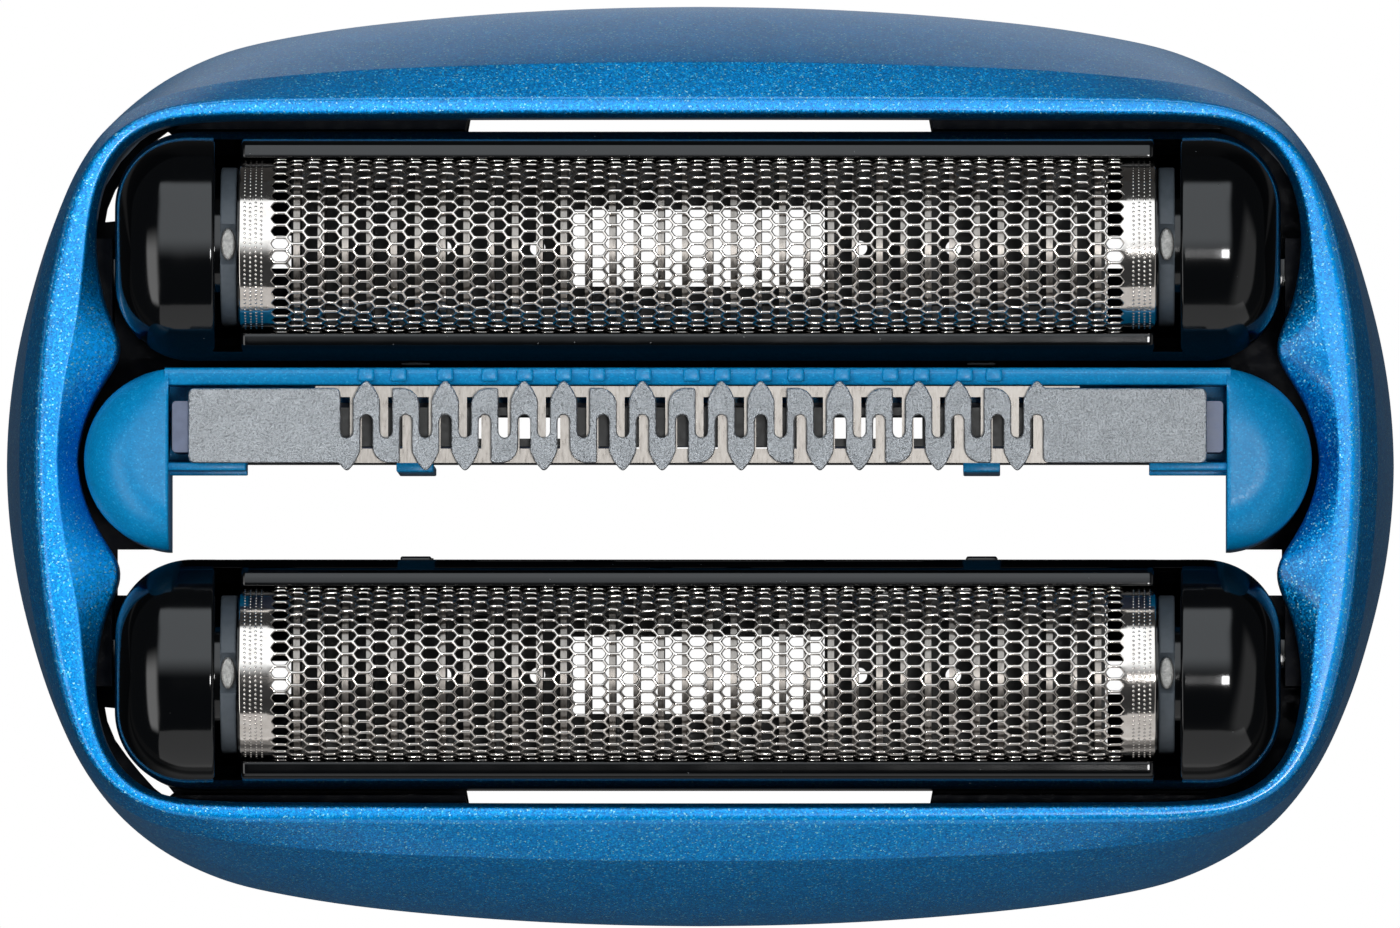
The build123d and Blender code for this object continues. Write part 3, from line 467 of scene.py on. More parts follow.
def build_outer_frame():
    base, crease, r_out, r_in, opening = (soften(read_off(line)) for line in (
        base_line, crease_line, ridge_outer_line, ridge_inner_line, opening_line))
    foot = inset(base, 0.35)
    foot_in = inset(base, 1.3)
    top_in = inset(crease, 0.9)
    skirt_z, crease_z, ridge_z, opening_z, under_z = 1.6, 11.0, 13.0, 12.4, 9.6
    n = len(base)
    quarter = []
    for i in range(n):
        def at(p, z):
            return Vector((p[i][0], p[i][1], z))
        pts, rad = [], []
        pts.append(at(foot, 0.0)); rad.append(0.35)
        pts.append(at(base, skirt_z)); rad.append(1.2)
        for k in range(1, 9):
            u = k / 9
            f = u ** 1.5
            p = (base[i][0] + f * (crease[i][0] - base[i][0]), base[i][1] + f * (crease[i][1] - base[i][1]))
            pts.append(Vector((p[0], p[1], skirt_z + u * (crease_z - skirt_z)))); rad.append(0)
        pts.append(at(crease, crease_z)); rad.append(0.30)
        pts.append(at(r_out, ridge_z)); rad.append(0.55)
        pts.append(at(r_in, ridge_z)); rad.append(0.22)
        pts.append(at(opening, opening_z)); rad.append(0.25)
        pts.append(at(opening, under_z)); rad.append(0.15)
        pts.append(at(top_in, under_z)); rad.append(0.3)
        w = 0.4 / 10.0
        low = (foot_in[i][0] + w * (top_in[i][0] - foot_in[i][0]), foot_in[i][1] + w * (top_in[i][1] - foot_in[i][1]))
        pts.append(Vector((low[0], low[1], 0.0))); rad.append(0.2)
        quarter.append(rounded(pts, rad))
    m = len(quarter[0])
    full = list(quarter)
    full += [[Vector((p.x, -p.y, p.z)) for p in quarter[i]] for i in range(n - 2, -1, -1)]
    full += [[Vector((-p.x, -p.y, p.z)) for p in quarter[i]] for i in range(1, n)]
    full += [[Vector((-p.x, p.y, p.z)) for p in quarter[i]] for i in range(n - 2, 0, -1)]
    bm = bmesh.new()
    rings = [[bm.verts.new(p * MM) for p in ring] for ring in full]
    total = len(rings)
    for i in range(total):
        a, b = rings[i], rings[(i + 1) % total]
        for j in range(m):
            k = (j + 1) % m
            bm.faces.new((a[j], a[k], b[k], b[j]))
    # bosses under the rim with their fixing studs
    for sx in (-1, 1):
        for sy in (-1, 1):
            made = bmesh.ops.create_cube(bm, size=1.0, matrix=Matrix.Translation(
                Vector((sx * 15, sy * 14.45, 7.5)) * MM) @ Matrix.Diagonal(Vector((3.0, 1.1, 4.6, 1000.0)) * MM))
            edges = {e for v in made["verts"] for e in v.link_edges}
            bmesh.ops.bevel(bm, geom=list(edges), offset=0.12 * MM, segments=2, affect="EDGES", clamp_overlap=True)
            bmesh.ops.create_cone(bm, cap_ends=True, segments=20, radius1=0.24 * MM, radius2=0.3 * MM, depth=1.6 * MM,
                                  matrix=Matrix.Translation(Vector((sx * 15, sy * 14.15, 4.6)) * MM))
    bmesh.ops.recalc_face_normals(bm, faces=bm.faces)
    return new_piece("frame_shell", bm, "outer_frame", 40)


# ---------------------------------------------------------------- foils: arched sheet with real hexagonal holes
FOIL_R, FOIL_T, FOIL_CZ, UNIT_Y = 3.5, 0.065, 13.0, 8.3
COL, ROW = 0.646, 0.503
FLAT, SLANT = 0.47, 0.176
N_COL, N_ROW = 51, 19
WIRE = 0.058          # half width of a wire
MESH_X = N_COL * COL / 2 + SLANT / 2


def build_foil(name, node, sy, seed):
    rnd = random.Random(seed)
    waves = [(rnd.uniform(1.6, 3.4), rnd.uniform(2.2, 4.6), rnd.uniform(0, 6.28), rnd.uniform(0, 6.28)) for _ in range(5)]

    def warp(u, v):
        """Irregular zones on the flanks: u along the foil, v along the arc."""
        edge = max(0.0, min(1.0, (abs(v) - 1.3) / 1.2)) * max(0.0, min(1.0, (4.6 - abs(v)) / 0.5))
        edge *= max(0.0, min(1.0, (16.3 - abs(u)) / 0.8))
        a = sum(math.sin(fu * u + p) * math.sin(fv * v + q) for fu, fv, p, q in waves) / 2.2
        b = sum(math.cos(fv * u * 0.7 + q) * math.sin(fu * v * 1.3 + p) for fu, fv, p, q in waves) / 2.2
        return u + 0.07 * edge * a, v + 0.05 * edge * b

    def on_arc(u, v, depth):
        """Point of the foil at arc length v from the crown, depth below the outer face."""
        r = FOIL_R - 0.019 - depth
        lim = FOIL_R * math.pi / 2
        if abs(v) <= lim:
            a = v / FOIL_R
            y, z = r * math.sin(a), FOIL_CZ + r * math.cos(a)
        else:
            y, z = math.copysign(r, v), FOIL_CZ - (abs(v) - lim)
        return Vector((u, sy * UNIT_Y + y, z)) * MM

    bm = bmesh.new()
    shared = {}

    def vert(u, v, depth, key=None):
        if key is not None and key in shared:
            return shared[key]
        x = bm.verts.new(on_arc(u, v, depth))
        if key is not None:
            shared[key] = x
        return x

    f2 = FLAT / 2
    corners = [(f2, -ROW / 2), (f2 + SLANT, 0), (f2, ROW / 2), (-f2, ROW / 2), (-f2 - SLANT, 0), (-f2, -ROW / 2)]
    half_cols = (N_COL - 1) / 2
    # hole outline: hexagon moved in by the wire's half width, corners rounded
    lines = []
    for i in range(6):
        (ax, ay), (bx, by) = corners[i], corners[(i + 1) % 6]
        ln = math.hypot(bx - ax, by - ay)
        nx, ny = -(by - ay) / ln, (bx - ax) / ln
        lines.append((ax + nx * WIRE, ay + ny * WIRE, bx - ax, by - ay))
    inner = []
    for i in range(6):
        x1, y1, dx1, dy1 = lines[i - 1]
        x2, y2, dx2, dy2 = lines[i]
        den = dx1 * dy2 - dy1 * dx2
        w = ((x2 - x1) * dy2 - (y2 - y1) * dx2) / den
        inner.append((x1 + dx1 * w, y1 + dy1 * w))
    steps = (0.0, 0.22, 0.78)
    outer18, hole18, mid18 = [], [], []
    for i in range(6):
        (ax, ay), (bx, by) = corners[i], corners[(i + 1) % 6]
        (cx, cy), (ex, ey) = inner[i], inner[(i + 1) % 6]
        for s in steps:
            o = (ax + s * (bx - ax), ay + s * (by - ay))
            h = (cx + s * (ex - cx), cy + s * (ey - cy))
            if s == 0.0:
                h = (h[0] * 0.945, h[1] * 0.945)
            outer18.append(o)
            hole18.append(h)
            mid18.append((0.52 * o[0] + 0.48 * h[0], 0.52 * o[1] + 0.48 * h[1]))
    for c in range(N_COL):
        u0 = (c - half_cols) * COL
        shift = 0.5 * ROW if c % 2 else 0.0
        rows = N_ROW if c % 2 == 0 else N_ROW - 1
        for r in range(rows):
            v0 = (r - (N_ROW - 1) / 2) * ROW + shift
            ring = []
            for ou, ov in outer18:
                key = (round((u0 + ou) * 2000), round((v0 + ov) * 2000))
                wu, wv = warp(u0 + ou, v0 + ov)
                top = vert(wu, wv, 0.0, ("t",) + key)
                bot = vert(wu, wv, FOIL_T, ("b",) + key)
                ring.append((top, bot))
            rim = []
            for (hu, hv), (mu, mv) in zip(hole18, mid18):
                wu, wv = warp(u0 + mu, v0 + mv)
                md = vert(wu, wv, 0.003)
                wu, wv = warp(u0 + hu, v0 + hv)
                rim.append((md, vert(wu, wv, 0.030), vert(wu, wv, FOIL_T)))
            for j in range(18):
                k = (j + 1) % 18
                (t0, b0), (t1, b1) = ring[j], ring[k]
                (m0, h0, w0), (m1, h1, w1) = rim[j], rim[k]
                bm.faces.new((t0, t1, m1, m0))
                bm.faces.new((m0, m1, h1, h0))
                bm.faces.new((h0, h1, w1, w0))
                bm.faces.new((w0, w1, b1, b0))
    # plain sheet all round the mesh: bridge each open top edge and bottom edge outwards
    end_u = FOIL_HL = 17.75
    end_v = FOIL_R * math.pi / 2 + (FOIL_CZ - 11.0)
    edge_top = [e for e in bm.edges if len(e.link_faces) == 1]
    inv = {}
    for key, x in shared.items():
        inv[x] = key

    def side_of(x):
        key = inv[x]
        return key[0], key[1] / 2000.0, key[2] / 2000.0

    # border loops in order
    for layer, depth in (("t", 0.0), ("b", FOIL_T)):
        nxt = {}
        for e in edge_top:
            a, b = e.verts
            if inv[a][0] != layer:
                continue
            nxt.setdefault(a, []).append(b)
            nxt.setdefault(b, []).append(a)
        start = min(nxt, key=lambda x: (side_of(x)[1], side_of(x)[2]))
        loop, prev, cur = [start], None, start
        while True:
            step = [x for x in nxt[cur] if x is not prev]
            prev, cur = cur, step[0]
            if cur is start:
                break
            loop.append(cur)
        # push the loop out to a rectangle just outside the mesh, then on to the edges of the sheet
        ru, rv = MESH_X + 0.10, N_ROW * ROW / 2 + 0.06

        def clamp_out(x):
            _, u, v = side_of(x)
            du, dv = ru - abs(u), rv - abs(v)
            if du < dv:
                return (math.copysign(ru, u), max(-rv, min(rv, v)))
            return (max(-ru, min(ru, u)), math.copysign(rv, v))

        outs = [clamp_out(x) for x in loop]
        ringv = [vert(u, v, depth) for u, v in outs]
        nloop = len(loop)
        for j in range(nloop):
            k = (j + 1) % nloop
            if (outs[j][0] - outs[k][0]) ** 2 + (outs[j][1] - outs[k][1]) ** 2 < 1e-12:
                bm.faces.new((loop[j], loop[k], ringv[j]))
            else:
                a, b = outs[j], outs[k]
                if abs(abs(a[0]) - abs(b[0])) > 1e-6 and abs(abs(a[1]) - abs(b[1])) > 1e-6:
                    corner = vert(math.copysign(ru, a[0] if abs(a[0]) > abs(b[0]) else b[0]),
                                  math.copysign(rv, a[1] if abs(a[1]) > abs(b[1]) else b[1]), depth)
                    bm.faces.new((loop[j], loop[k], ringv[k], corner, ringv[j]))
                else:
                    bm.faces.new((loop[j], loop[k], ringv[k], ringv[j]))
    bmesh.ops.remove_doubles(bm, verts=bm.verts, dist=1e-7)
    # outer part of the sheet: end margins, upper flanks and straight legs
    lim = FOIL_R * math.pi / 2
    ru, rv = MESH_X + 0.10, N_ROW * ROW / 2 + 0.06
    vs = [-end_v, -lim - 1.0, -lim] + [-lim + (lim - rv) * i / 4 for i in range(1, 4)] + [-rv]
    inner_vs = [-rv + 2 * rv * i / 40 for i in range(1, 40)]
    vs = vs + inner_vs + [rv] + [rv + (lim - rv) * i / 4 for i in range(1, 4)] + [lim, lim + 1.0, end_v]
    edge = [(0.0, 0.03), (0.012, 0.012), (0.03, 0.003), (0.05, 0.0), (0.08, 0.0), (0.30, 0.0), (0.60, 0.0)]
    us = [-end_u + e for e, _ in edge] + [-ru, ru] + [end_u - e for e, _ in reversed(edge)]
    drops = [d for _, d in edge] + [0.0, 0.0] + [d for _, d in reversed(edge)]
    hole_u = len(edge)
    grid = {}
    for layer, depth in (("t", 0.0), ("b", FOIL_T)):
        for iu, u in enumerate(us):
            for iv, v in enumerate(vs):
                d = drops[iu] if layer == "t" else depth
                grid[layer, iu, iv] = bm.verts.new(on_arc(u, v, d))
        for iu in range(len(us) - 1):
            for iv in range(len(vs) - 1):
                if iu == hole_u and -rv - 1e-9 <= vs[iv] and vs[iv + 1] <= rv + 1e-9:
                    continue
                q = (grid[layer, iu, iv], grid[layer, iu + 1, iv], grid[layer, iu + 1, iv + 1], grid[layer, iu, iv + 1])
                bm.faces.new(q)
    for iu in range(len(us) - 1):
        for iv in (0, len(vs) - 1):
            bm.faces.new((grid["t", iu, iv], grid["t", iu + 1, iv], grid["b", iu + 1, iv], grid["b", iu, iv]))
    for iv in range(len(vs) - 1):
        for iu in (0, len(us) - 1):
            bm.faces.new((grid["t", iu, iv], grid["t", iu, iv + 1], grid["b", iu, iv + 1], grid["b", iu, iv]))
    # rows of tiny raised dots on the end margins
    for sx in (-1, 1):
        for ci in range(4):
            u = sx * (16.88 + 0.215 * ci)
            for ri in range(-26, 27):
                v = (ri + 0.25 * (ci % 2)) * 0.181
                r0, r1 = 0.056, 0.030
                top = [bm.verts.new(on_arc(u + r1 * math.cos(a), v + r1 * math.sin(a), -0.014))
                       for a in (i * math.pi / 4 for i in range(8))]
                low = [bm.verts.new(on_arc(u + r0 * math.cos(a), v + r0 * math.sin(a), 0.004))
                       for a in (i * math.pi / 4 for i in range(8))]
                cap = bm.verts.new(on_arc(u, v, -0.018))
                for i in range(8):
                    k = (i + 1) % 8
                    bm.faces.new((low[i], low[k], top[k], top[i]))
                    bm.faces.new((top[i], top[k], cap))
    bmesh.ops.recalc_face_normals(bm, faces=bm.faces)
    return new_piece(name, bm, node, 55)


# ---------------------------------------------------------------- foil holders: domed ends, rails, ribs and seats
def loft(bm, rings):
    """Closed skin through equal rings of points, with a flat face at either end."""
    vs = [[bm.verts.new(p) for p in ring] for ring in rings]
    m = len(vs[0])
    for a, b in zip(vs, vs[1:]):
        for j in range(m):
            k = (j + 1) % m
            bm.faces.new((a[j], a[k], b[k], b[j]))
    bm.faces.new(list(reversed(vs[0])))
    bm.faces.new(vs[-1])


def soft_box(bm, lo, hi, r):
    """Block with rounded edges."""
    mid = Vector([(a + b) / 2 for a, b in zip(lo, hi)]) * MM
    made = bmesh.ops.create_cube(bm, size=1.0, matrix=Matrix.Translation(mid) @ Matrix.Diagonal(
        Vector([(b - a) * MM for a, b in zip(lo, hi)] + [1.0])))
    edges = {e for v in made["verts"] for e in v.link_edges}
    bmesh.ops.bevel(bm, geom=list(edges), offset=r * MM, segments=3, profile=0.5, affect="EDGES", clamp_overlap=True)


HOLD_X, HOLD_V, HOLD_R, HOLD_Z = 22.6, 4.45, 3.0, 6.9
ARCH_R, ARCH_C, DOME_X = 4.9, 11.3, 18.7


def arch_z(v):
    return ARCH_C + math.sqrt(max(0.0, ARCH_R ** 2 - v * v))


def round_off(d, a, b):
    """Drop of a rounded edge at distance d inside it: a quarter ellipse a wide and b deep."""
    if d >= a:
        return 0.0
    w = 1 - max(d, 0.0) / a
    return b * (1 - math.sqrt(max(0.0, 1 - w * w)))


def dome_z(x, v):
    cx, cv = HOLD_X - HOLD_R, HOLD_V - HOLD_R
    av = abs(v)
    if x > cx and av > cv:
        h = math.hypot(x - cx, av - cv)
        d, nx = HOLD_R - h, (x - cx) / max(h, 1e-9)
    else:
        d, nx = min(HOLD_X - x, HOLD_V - av), (1.0 if HOLD_X - x < HOLD_V - av else 0.0)
    n2 = nx * nx
    drop = round_off(d, 2.15 * n2 + 0.75 * (1 - n2), 2.2 * n2 + 0.50 * (1 - n2))
    return arch_z(v) - drop - round_off(x - DOME_X, 0.14, 0.14)


def closed_dome(bm, place, rows, inner_x, bore_x, bore_r, bore_z, z0, height):
    """Solid end piece under a height field: rows of (v, outer x), a flat inner face, side wall and spring bore."""
    ins = [0.0, 0.006, 0.022, 0.05, 0.09, 0.14]
    fr = [0.012, 0.04, 0.09, 0.15, 0.22, 0.30, 0.38, 0.46, 0.54, 0.61, 0.68, 0.74, 0.79, 0.835, 0.875, 0.91, 0.94, 0.963,
          0.98, 0.991, 0.997, 1.0]
    grid = []
    for v, xo in rows:
        xs = [inner_x + e for e in ins] + [inner_x + 0.14 + f * (xo - inner_x - 0.14) for f in fr]
        grid.append([(x, v, height(x, v)) for x in xs])
    vs = [[bm.verts.new(place(*p)) for p in row] for row in grid]
    n, m = len(vs), len(vs[0])
    for i in range(n - 1):
        for j in range(m - 1):
            bm.faces.new((vs[i][j], vs[i + 1][j], vs[i + 1][j + 1], vs[i][j + 1]))
    edge = ([(0, j) for j in range(m)] + [(i, m - 1) for i in range(1, n)] + [(n - 1, j) for j in range(m - 2, -1, -1)]
            + [(i, 0) for i in range(n - 2, 0, -1)])
    ring = [grid[i][j] for i, j in edge]
    top = [vs[i][j] for i, j in edge]
    low = [bm.verts.new(place(x, v, z0)) for x, v, _ in ring]
    bore = [(bore_x + bore_r * math.cos(a), bore_r * math.sin(a))
            for a in (math.atan2(v, x - bore_x) for x, v, _ in ring)]
    mouth = [bm.verts.new(place(x, v, z0)) for x, v in bore]
    end = [bm.verts.new(place(x, v, bore_z)) for x, v in bore]
    k = len(ring)
    for a, b in ((top, low), (low, mouth), (mouth, end)):
        for i in range(k):
            j = (i + 1) % k
            bm.faces.new((a[i], a[j], b[j], b[i]))
    bm.faces.new(end)


def build_holder(name, node, sy):
    bm = bmesh.new()

    def at(x, v, z):
        return Vector((x, sy * (UNIT_Y + v), z)) * MM

    cx, cv = HOLD_X - HOLD_R, HOLD_V - HOLD_R
    rows = [(cv + HOLD_R * math.sin(math.radians(a)), cx + HOLD_R * math.cos(math.radians(a))) for a in range(90, -1, -3)]
    rows += [(cv * (1 - i / 6), HOLD_X) for i in range(1, 6)] + [(0.0, HOLD_X)]
    rows += [(-v, x) for v, x in reversed(rows[:-1])]
    for sx in (-1, 1):
        closed_dome(bm, lambda x, v, z: at(sx * x, v, z), rows, DOME_X, 20.7, 1.3, 11.2, HOLD_Z, dome_z)
    ds = [0, 0.01, 0.03, 0.06, 0.10, 0.16, 0.23, 0.30]
    flank = [(HOLD_V, HOLD_Z), (HOLD_V, 12.3)]
    flank += [(HOLD_V - d, arch_z(HOLD_V - d) - round_off(d, 0.75, 0.50)) for d in ds]
    rail = flank + [(4.06, 14.04), (3.98, 14.155), (3.92, 14.225), (3.86, 14.262), (3.79, 14.277), (3.70, 14.283),
                    (3.55, 14.295), (3.47, 14.296), (3.425, 14.285), (3.405, 14.262), (3.40, 14.22), (3.40, 14.0),
                    (3.55, 14.0), (3.55, HOLD_Z)]
    step = [(v - 0.003, z - 0.003) for v, z in flank] + [(4.12, 13.95), (4.103, 13.92), (4.10, 13.86), (4.10, 12.0),
                                                         (4.05, 11.9), (3.55, 12.6), (3.55, HOLD_Z)]
    ends = [0.0, 0.01, 0.03, 0.07, 0.12, 0.2, 0.3]
    xs = [-17.72 + e for e in ends] + [-17.0 + 34.0 * i / 8 for i in range(9)] + [17.72 - e for e in reversed(ends)]
    for sv in (-1, 1):
        rings = []
        for x in xs:
            lowered = round_off(17.72 - abs(x), 0.2, 0.2)
            rings.append([at(x, sv * v, z - lowered * max(0.0, min(1.0, (z - 13.2) / 0.8))) for v, z in rail])
        loft(bm, rings)
        for sx in (-1, 1):
            loft(bm, [[at(sx * x, sv * v, z) for v, z in step] for x in (17.66, 18.0, 18.4, 18.78)])
    for sx in (-1, 1):
        for r, xa, xb in ((3.38, 16.9, 17.8), (2.32, 17.78, 18.74)):
            arc = [(r * math.sin(math.radians(a)), FOIL_CZ + r * math.cos(math.radians(a))) for a in range(90, -91, -6)]
            sec = arc + [(-r, 10.9), (-3.6, 9.4), (-3.6, HOLD_Z + 0.01), (3.6, HOLD_Z + 0.01), (3.6, 9.4), (r, 10.9)]
            loft(bm, [[at(sx * x, v, z) for v, z in sec] for x in (xa, xb)])
        # guide lug at the end and guide rib on the trimmer side
        xa, xb = sorted((sx * 22.2, sx * 23.3))
        ya, yb = sorted((sy * 6.8, sy * 8.0))
        soft_box(bm, (xa, ya, 7.2), (xb, yb, 8.2), 0.1)
        ya, yb = sorted((sy * (UNIT_Y - 4.65), sy * (UNIT_Y - 4.15)))
        soft_box(bm, (sx * 11 - 0.6, ya, HOLD_Z + 0.01), (sx * 11 + 0.6, yb, 9.0), 0.08)
    # ledges that keep the cutter in
    for sv in (-1, 1):
        ya, yb = sorted((sy * (UNIT_Y + sv * 2.9), sy * (UNIT_Y + sv * 3.65)))
        soft_box(bm, (-17.1, ya, 8.8), (17.1, yb, 9.7), 0.06)
    bmesh.ops.recalc_face_normals(bm, faces=bm.faces)
    return new_piece(name, bm, node, 40)


# ---------------------------------------------------------------- end strips of the foils
def build_strips(name, node, sy):
    bm = bmesh.new()
    ro, ri = 3.05, 2.34
    for sx in (-1, 1):
        rings = []
        for x, cut in ((17.85, 0.06), (17.865, 0.025), (17.90, 0.006), (17.95, 0.0), (18.38, 0.0), (18.43, 0.006),
                       (18.465, 0.025), (18.48, 0.06)):
            sec = [(ro - cut, 11.0)]
            for a in range(90, -91, -5):
                v = (ro - cut) * math.sin(math.radians(a))
                z = FOIL_CZ + (ro - cut) * math.cos(math.radians(a))
                seat = max(0.0, min(1.0, (0.78 - abs(v)) / 0.1))
                sec.append((v, z + seat * (min(z, FOIL_CZ + 2.70) - z)))
            sec += [(-(ro - cut), 11.0), (-ri, 11.0)]
            sec += [(ri * math.sin(math.radians(a)), FOIL_CZ + ri * math.cos(math.radians(a))) for a in range(-90, 91, 5)]
            sec.append((ri, 11.0))
            rings.append([Vector((sx * x, sy * (UNIT_Y + v), z)) * MM for v, z in sec])
        loft(bm, rings)
    bmesh.ops.recalc_face_normals(bm, faces=bm.faces)
    return new_piece(name, bm, node, 50)


# ---------------------------------------------------------------- trimmer holder: caps, bar with blocks, tray, hooks
CAP_CX, CAP_R, CAP_X, CAP_TOP, BAR_Y0, BAR_Y1, BAR_TOP = 20.3, 3.5, 20.5, 15.5, 2.87, 3.54, 15.2


def smooth01(u):
    u = max(0.0, min(1.0, u))
    return u * u * (3 - 2 * u)


def cap_z(x, v):
    z = CAP_TOP - round_off(CAP_R - math.hypot(x - CAP_CX, v), 1.95, 1.9) - round_off(x - CAP_X, 0.14, 0.12)
    bar = BAR_TOP - round_off(BAR_Y1 - v, 0.22, 0.16)
    reach = max(0.0, 1 - (x - CAP_X) / 1.7) ** 2
    return z + max(0.0, bar - z) * smooth01((v - 2.3) / 0.65) * reach


def build_trimmer_holder():
    bm = bmesh.new()
    rows = [(CAP_R * math.sin(math.radians(a)), CAP_CX + CAP_R * math.cos(math.radians(a)))
            for a in [84, 82.5] + list(range(80, -81, -4)) + [-82.5, -84]]
    for sx in (-1, 1):
        closed_dome(bm, lambda x, v, z: Vector((sx * x, v, z)) * MM, rows, CAP_X, 22.05, 1.1, 10.6, 7.0, cap_z)
    sec = [(BAR_Y0, 10.6), (BAR_Y0, 14.7)]
    sec += [(BAR_Y0 + d, BAR_TOP - 0.17 - round_off(d, 0.12, 0.12)) for d in (0.0, 0.008, 0.03, 0.06, 0.12)]
    sec += [(BAR_Y1 - d, BAR_TOP - round_off(d, 0.22, 0.16)) for d in (0.22, 0.15, 0.09, 0.045, 0.012, 0.0)]
    sec += [(BAR_Y1, 14.9), (BAR_Y1, 10.6)]
    loft(bm, [[Vector((x, y, z)) * MM for y, z in sec] for x in [-20.64 + 41.28 * i / 24 for i in range(25)]])
    for x in (-12.84, -11.58, -9.77, -8.05, -6.69, -5.18, -3.89, -2.10, -0.23, 0.97, 2.57, 3.81, 5.6, 7.47, 8.68,
              10.35, 11.48):
        soft_box(bm, (x - 0.33, BAR_Y0 + 0.13, BAR_TOP - 0.4), (x + 0.33, BAR_Y1 - 0.02, BAR_TOP + 0.18), 0.12)
    # tray under the comb, with its windows left open
    for xa, xb, ya, yb in ((-20.62, -3.2, 1.85, 3.2), (3.2, 20.62, 1.85, 3.2), (-3.22, 3.22, 2.1, 3.2),
                           (-20.62, -3.2, 0.0, 0.65), (3.2, 20.62, 0.0, 0.65), (-3.22, 3.22, 0.0, 0.4),
                           (-20.62, -8.7, 0.62, 1.88), (-4.9, -3.2, 0.62, 1.88), (3.2, 4.9, 0.62, 1.88),
                           (8.7, 20.62, 0.62, 1.88)):
        soft_box(bm, (xa, ya, 10.6), (xb, yb, 11.6), 0.03)
    for sx in (-1, 1):
        xa, xb = sorted((sx * 17.5, sx * 20.64))
        soft_box(bm, (xa, -0.55, 10.6), (xb, 0.05, 11.6), 0.05)
        soft_box(bm, (xa, -0.42, 10.62), (xb, -0.12, 14.6), 0.07)
        # snap hooks at the front edge
        soft_box(bm, (sx * 11 - 0.72, -0.42, 3.5), (sx * 11 + 0.72, -0.1, 11.59), 0.06)
        soft_box(bm, (sx * 11 - 0.71, -0.41, 10.62), (sx * 11 + 0.71, 0.05, 11.58), 0.05)
        barb = [(-0.2, 4.05), (0.35, 4.05), (0.35, 3.85), (-0.2, 3.5)]
        loft(bm, [[Vector((sx * 11 + dx, y, z)) * MM for y, z in barb] for dx in (-0.61, 0.61)])
    bmesh.ops.recalc_face_normals(bm, faces=bm.faces)
    return new_piece("trimmer_body", bm, "trimmer_holder", 40)


# ---------------------------------------------------------------- trimmer comb: smooth serpentine outline, rounded edges
def plate_outline(node, z_top):
    """Outline of a flat plate, read from the top face of its CAD mesh, in mm."""
    me = nodes[node].data
    count, where = {}, {}
    for p in me.polygons:
        if p.normal.z < 0.9 or p.center.z < z_top * MM - 1e-6:
            continue
        keys = []
        for i in p.vertices:
            c = me.vertices[i].co
            k = (round(c.x * 1e7), round(c.y * 1e7))
            where[k] = (c.x / MM, c.y / MM)
            keys.append(k)
        for a, b in zip(keys, keys[1:] + keys[:1]):
            e = (a, b) if a < b else (b, a)
            count[e] = count.get(e, 0) + 1
    nxt = {}
    for (a, b), n in count.items():
        if n == 1:
            nxt.setdefault(a, []).append(b)
            nxt.setdefault(b, []).append(a)
    loops, left = [], set(nxt)
    while left:
        start = min(left)
        loop, prev, cur = [start], None, start
        left.discard(start)
        while True:
            step = [k for k in nxt[cur] if k != prev and (k in left or k == start)]
            if not step or step[0] == start:
                break
            prev, cur = cur, step[0]
            loop.append(cur)
            left.discard(cur)
        loops.append([where[k] for k in loop])
    return max(loops, key=len)


def even_out(points, step, rounds):
    """Closed outline at an even spacing, with its corners smoothed."""
    n = len(points)
    lens = [math.dist(points[i], points[(i + 1) % n]) for i in range(n)]
    total = sum(lens)
    m = int(total / step)
    out, i, run = [], 0, 0.0
    for k in range(m):
        want = total * k / m
        while run + lens[i] < want:
            run += lens[i]
            i += 1
        u = (want - run) / max(lens[i], 1e-9)
        a, b = points[i], points[(i + 1) % n]
        out.append((a[0] + u * (b[0] - a[0]), a[1] + u * (b[1] - a[1])))
    for _ in range(rounds):
        out = [tuple((out[j - 1][k] + 2 * out[j][k] + out[(j + 1) % m][k]) / 4 for k in (0, 1)) for j in range(m)]
    return out


def build_comb():
    line = even_out(plate_outline("trimmer_comb", 15.55), 0.035, 7)
    line = [(x + math.copysign(0.12 * smooth01((abs(x) - 14.5) / 4.5), x), -0.16 + 1.047 * (y + 0.16)) for x, y in line]
    n = len(line)
    area2 = sum(line[i][0] * line[(i + 1) % n][1] - line[(i + 1) % n][0] * line[i][1] for i in range(n))
    sign = 1.0 if area2 > 0 else -1.0

    def inner(d):
        out = []
        for i in range(n):
            a, b = line[i - 2], line[(i + 2) % n]
            tx, ty = b[0] - a[0], b[1] - a[1]
            ln = math.hypot(tx, ty) or 1.0
            out.append((line[i][0] - sign * ty / ln * d, line[i][1] + sign * tx / ln * d))
        return out

    bm = bmesh.new()
    rings = []
    for d, z in ((0.015, 15.2), (0.0, 15.225), (0.0, 15.46), (0.006, 15.495), (0.02, 15.525), (0.036, 15.542), (0.05, 15.55), (0.07, 15.55)):
        rings.append([bm.verts.new(Vector((x, y, z)) * MM) for x, y in inner(d)])
    for a, b in zip(rings, rings[1:]):
        for i in range(n):
            j = (i + 1) % n
            bm.faces.new((a[i], a[j], b[j], b[i]))
    for ring in (rings[0], rings[-1]):
        z = ring[0].co.z
        flat = [Vector((v.co.x, v.co.y)) / MM for v in ring]
        out, _, tris, orig, _, _ = delaunay_2d_cdt(flat, [], [list(range(n))], 1, 1e-6)
        at = [ring[o[0]] if o else bm.verts.new((p.x * MM, p.y * MM, z)) for p, o in zip(out, orig)]
        for tri in tris:
            bm.faces.new([at[i] for i in tri])
    bmesh.ops.recalc_face_normals(bm, faces=bm.faces)
    return new_piece("comb_plate", bm, "trimmer_comb", 50)


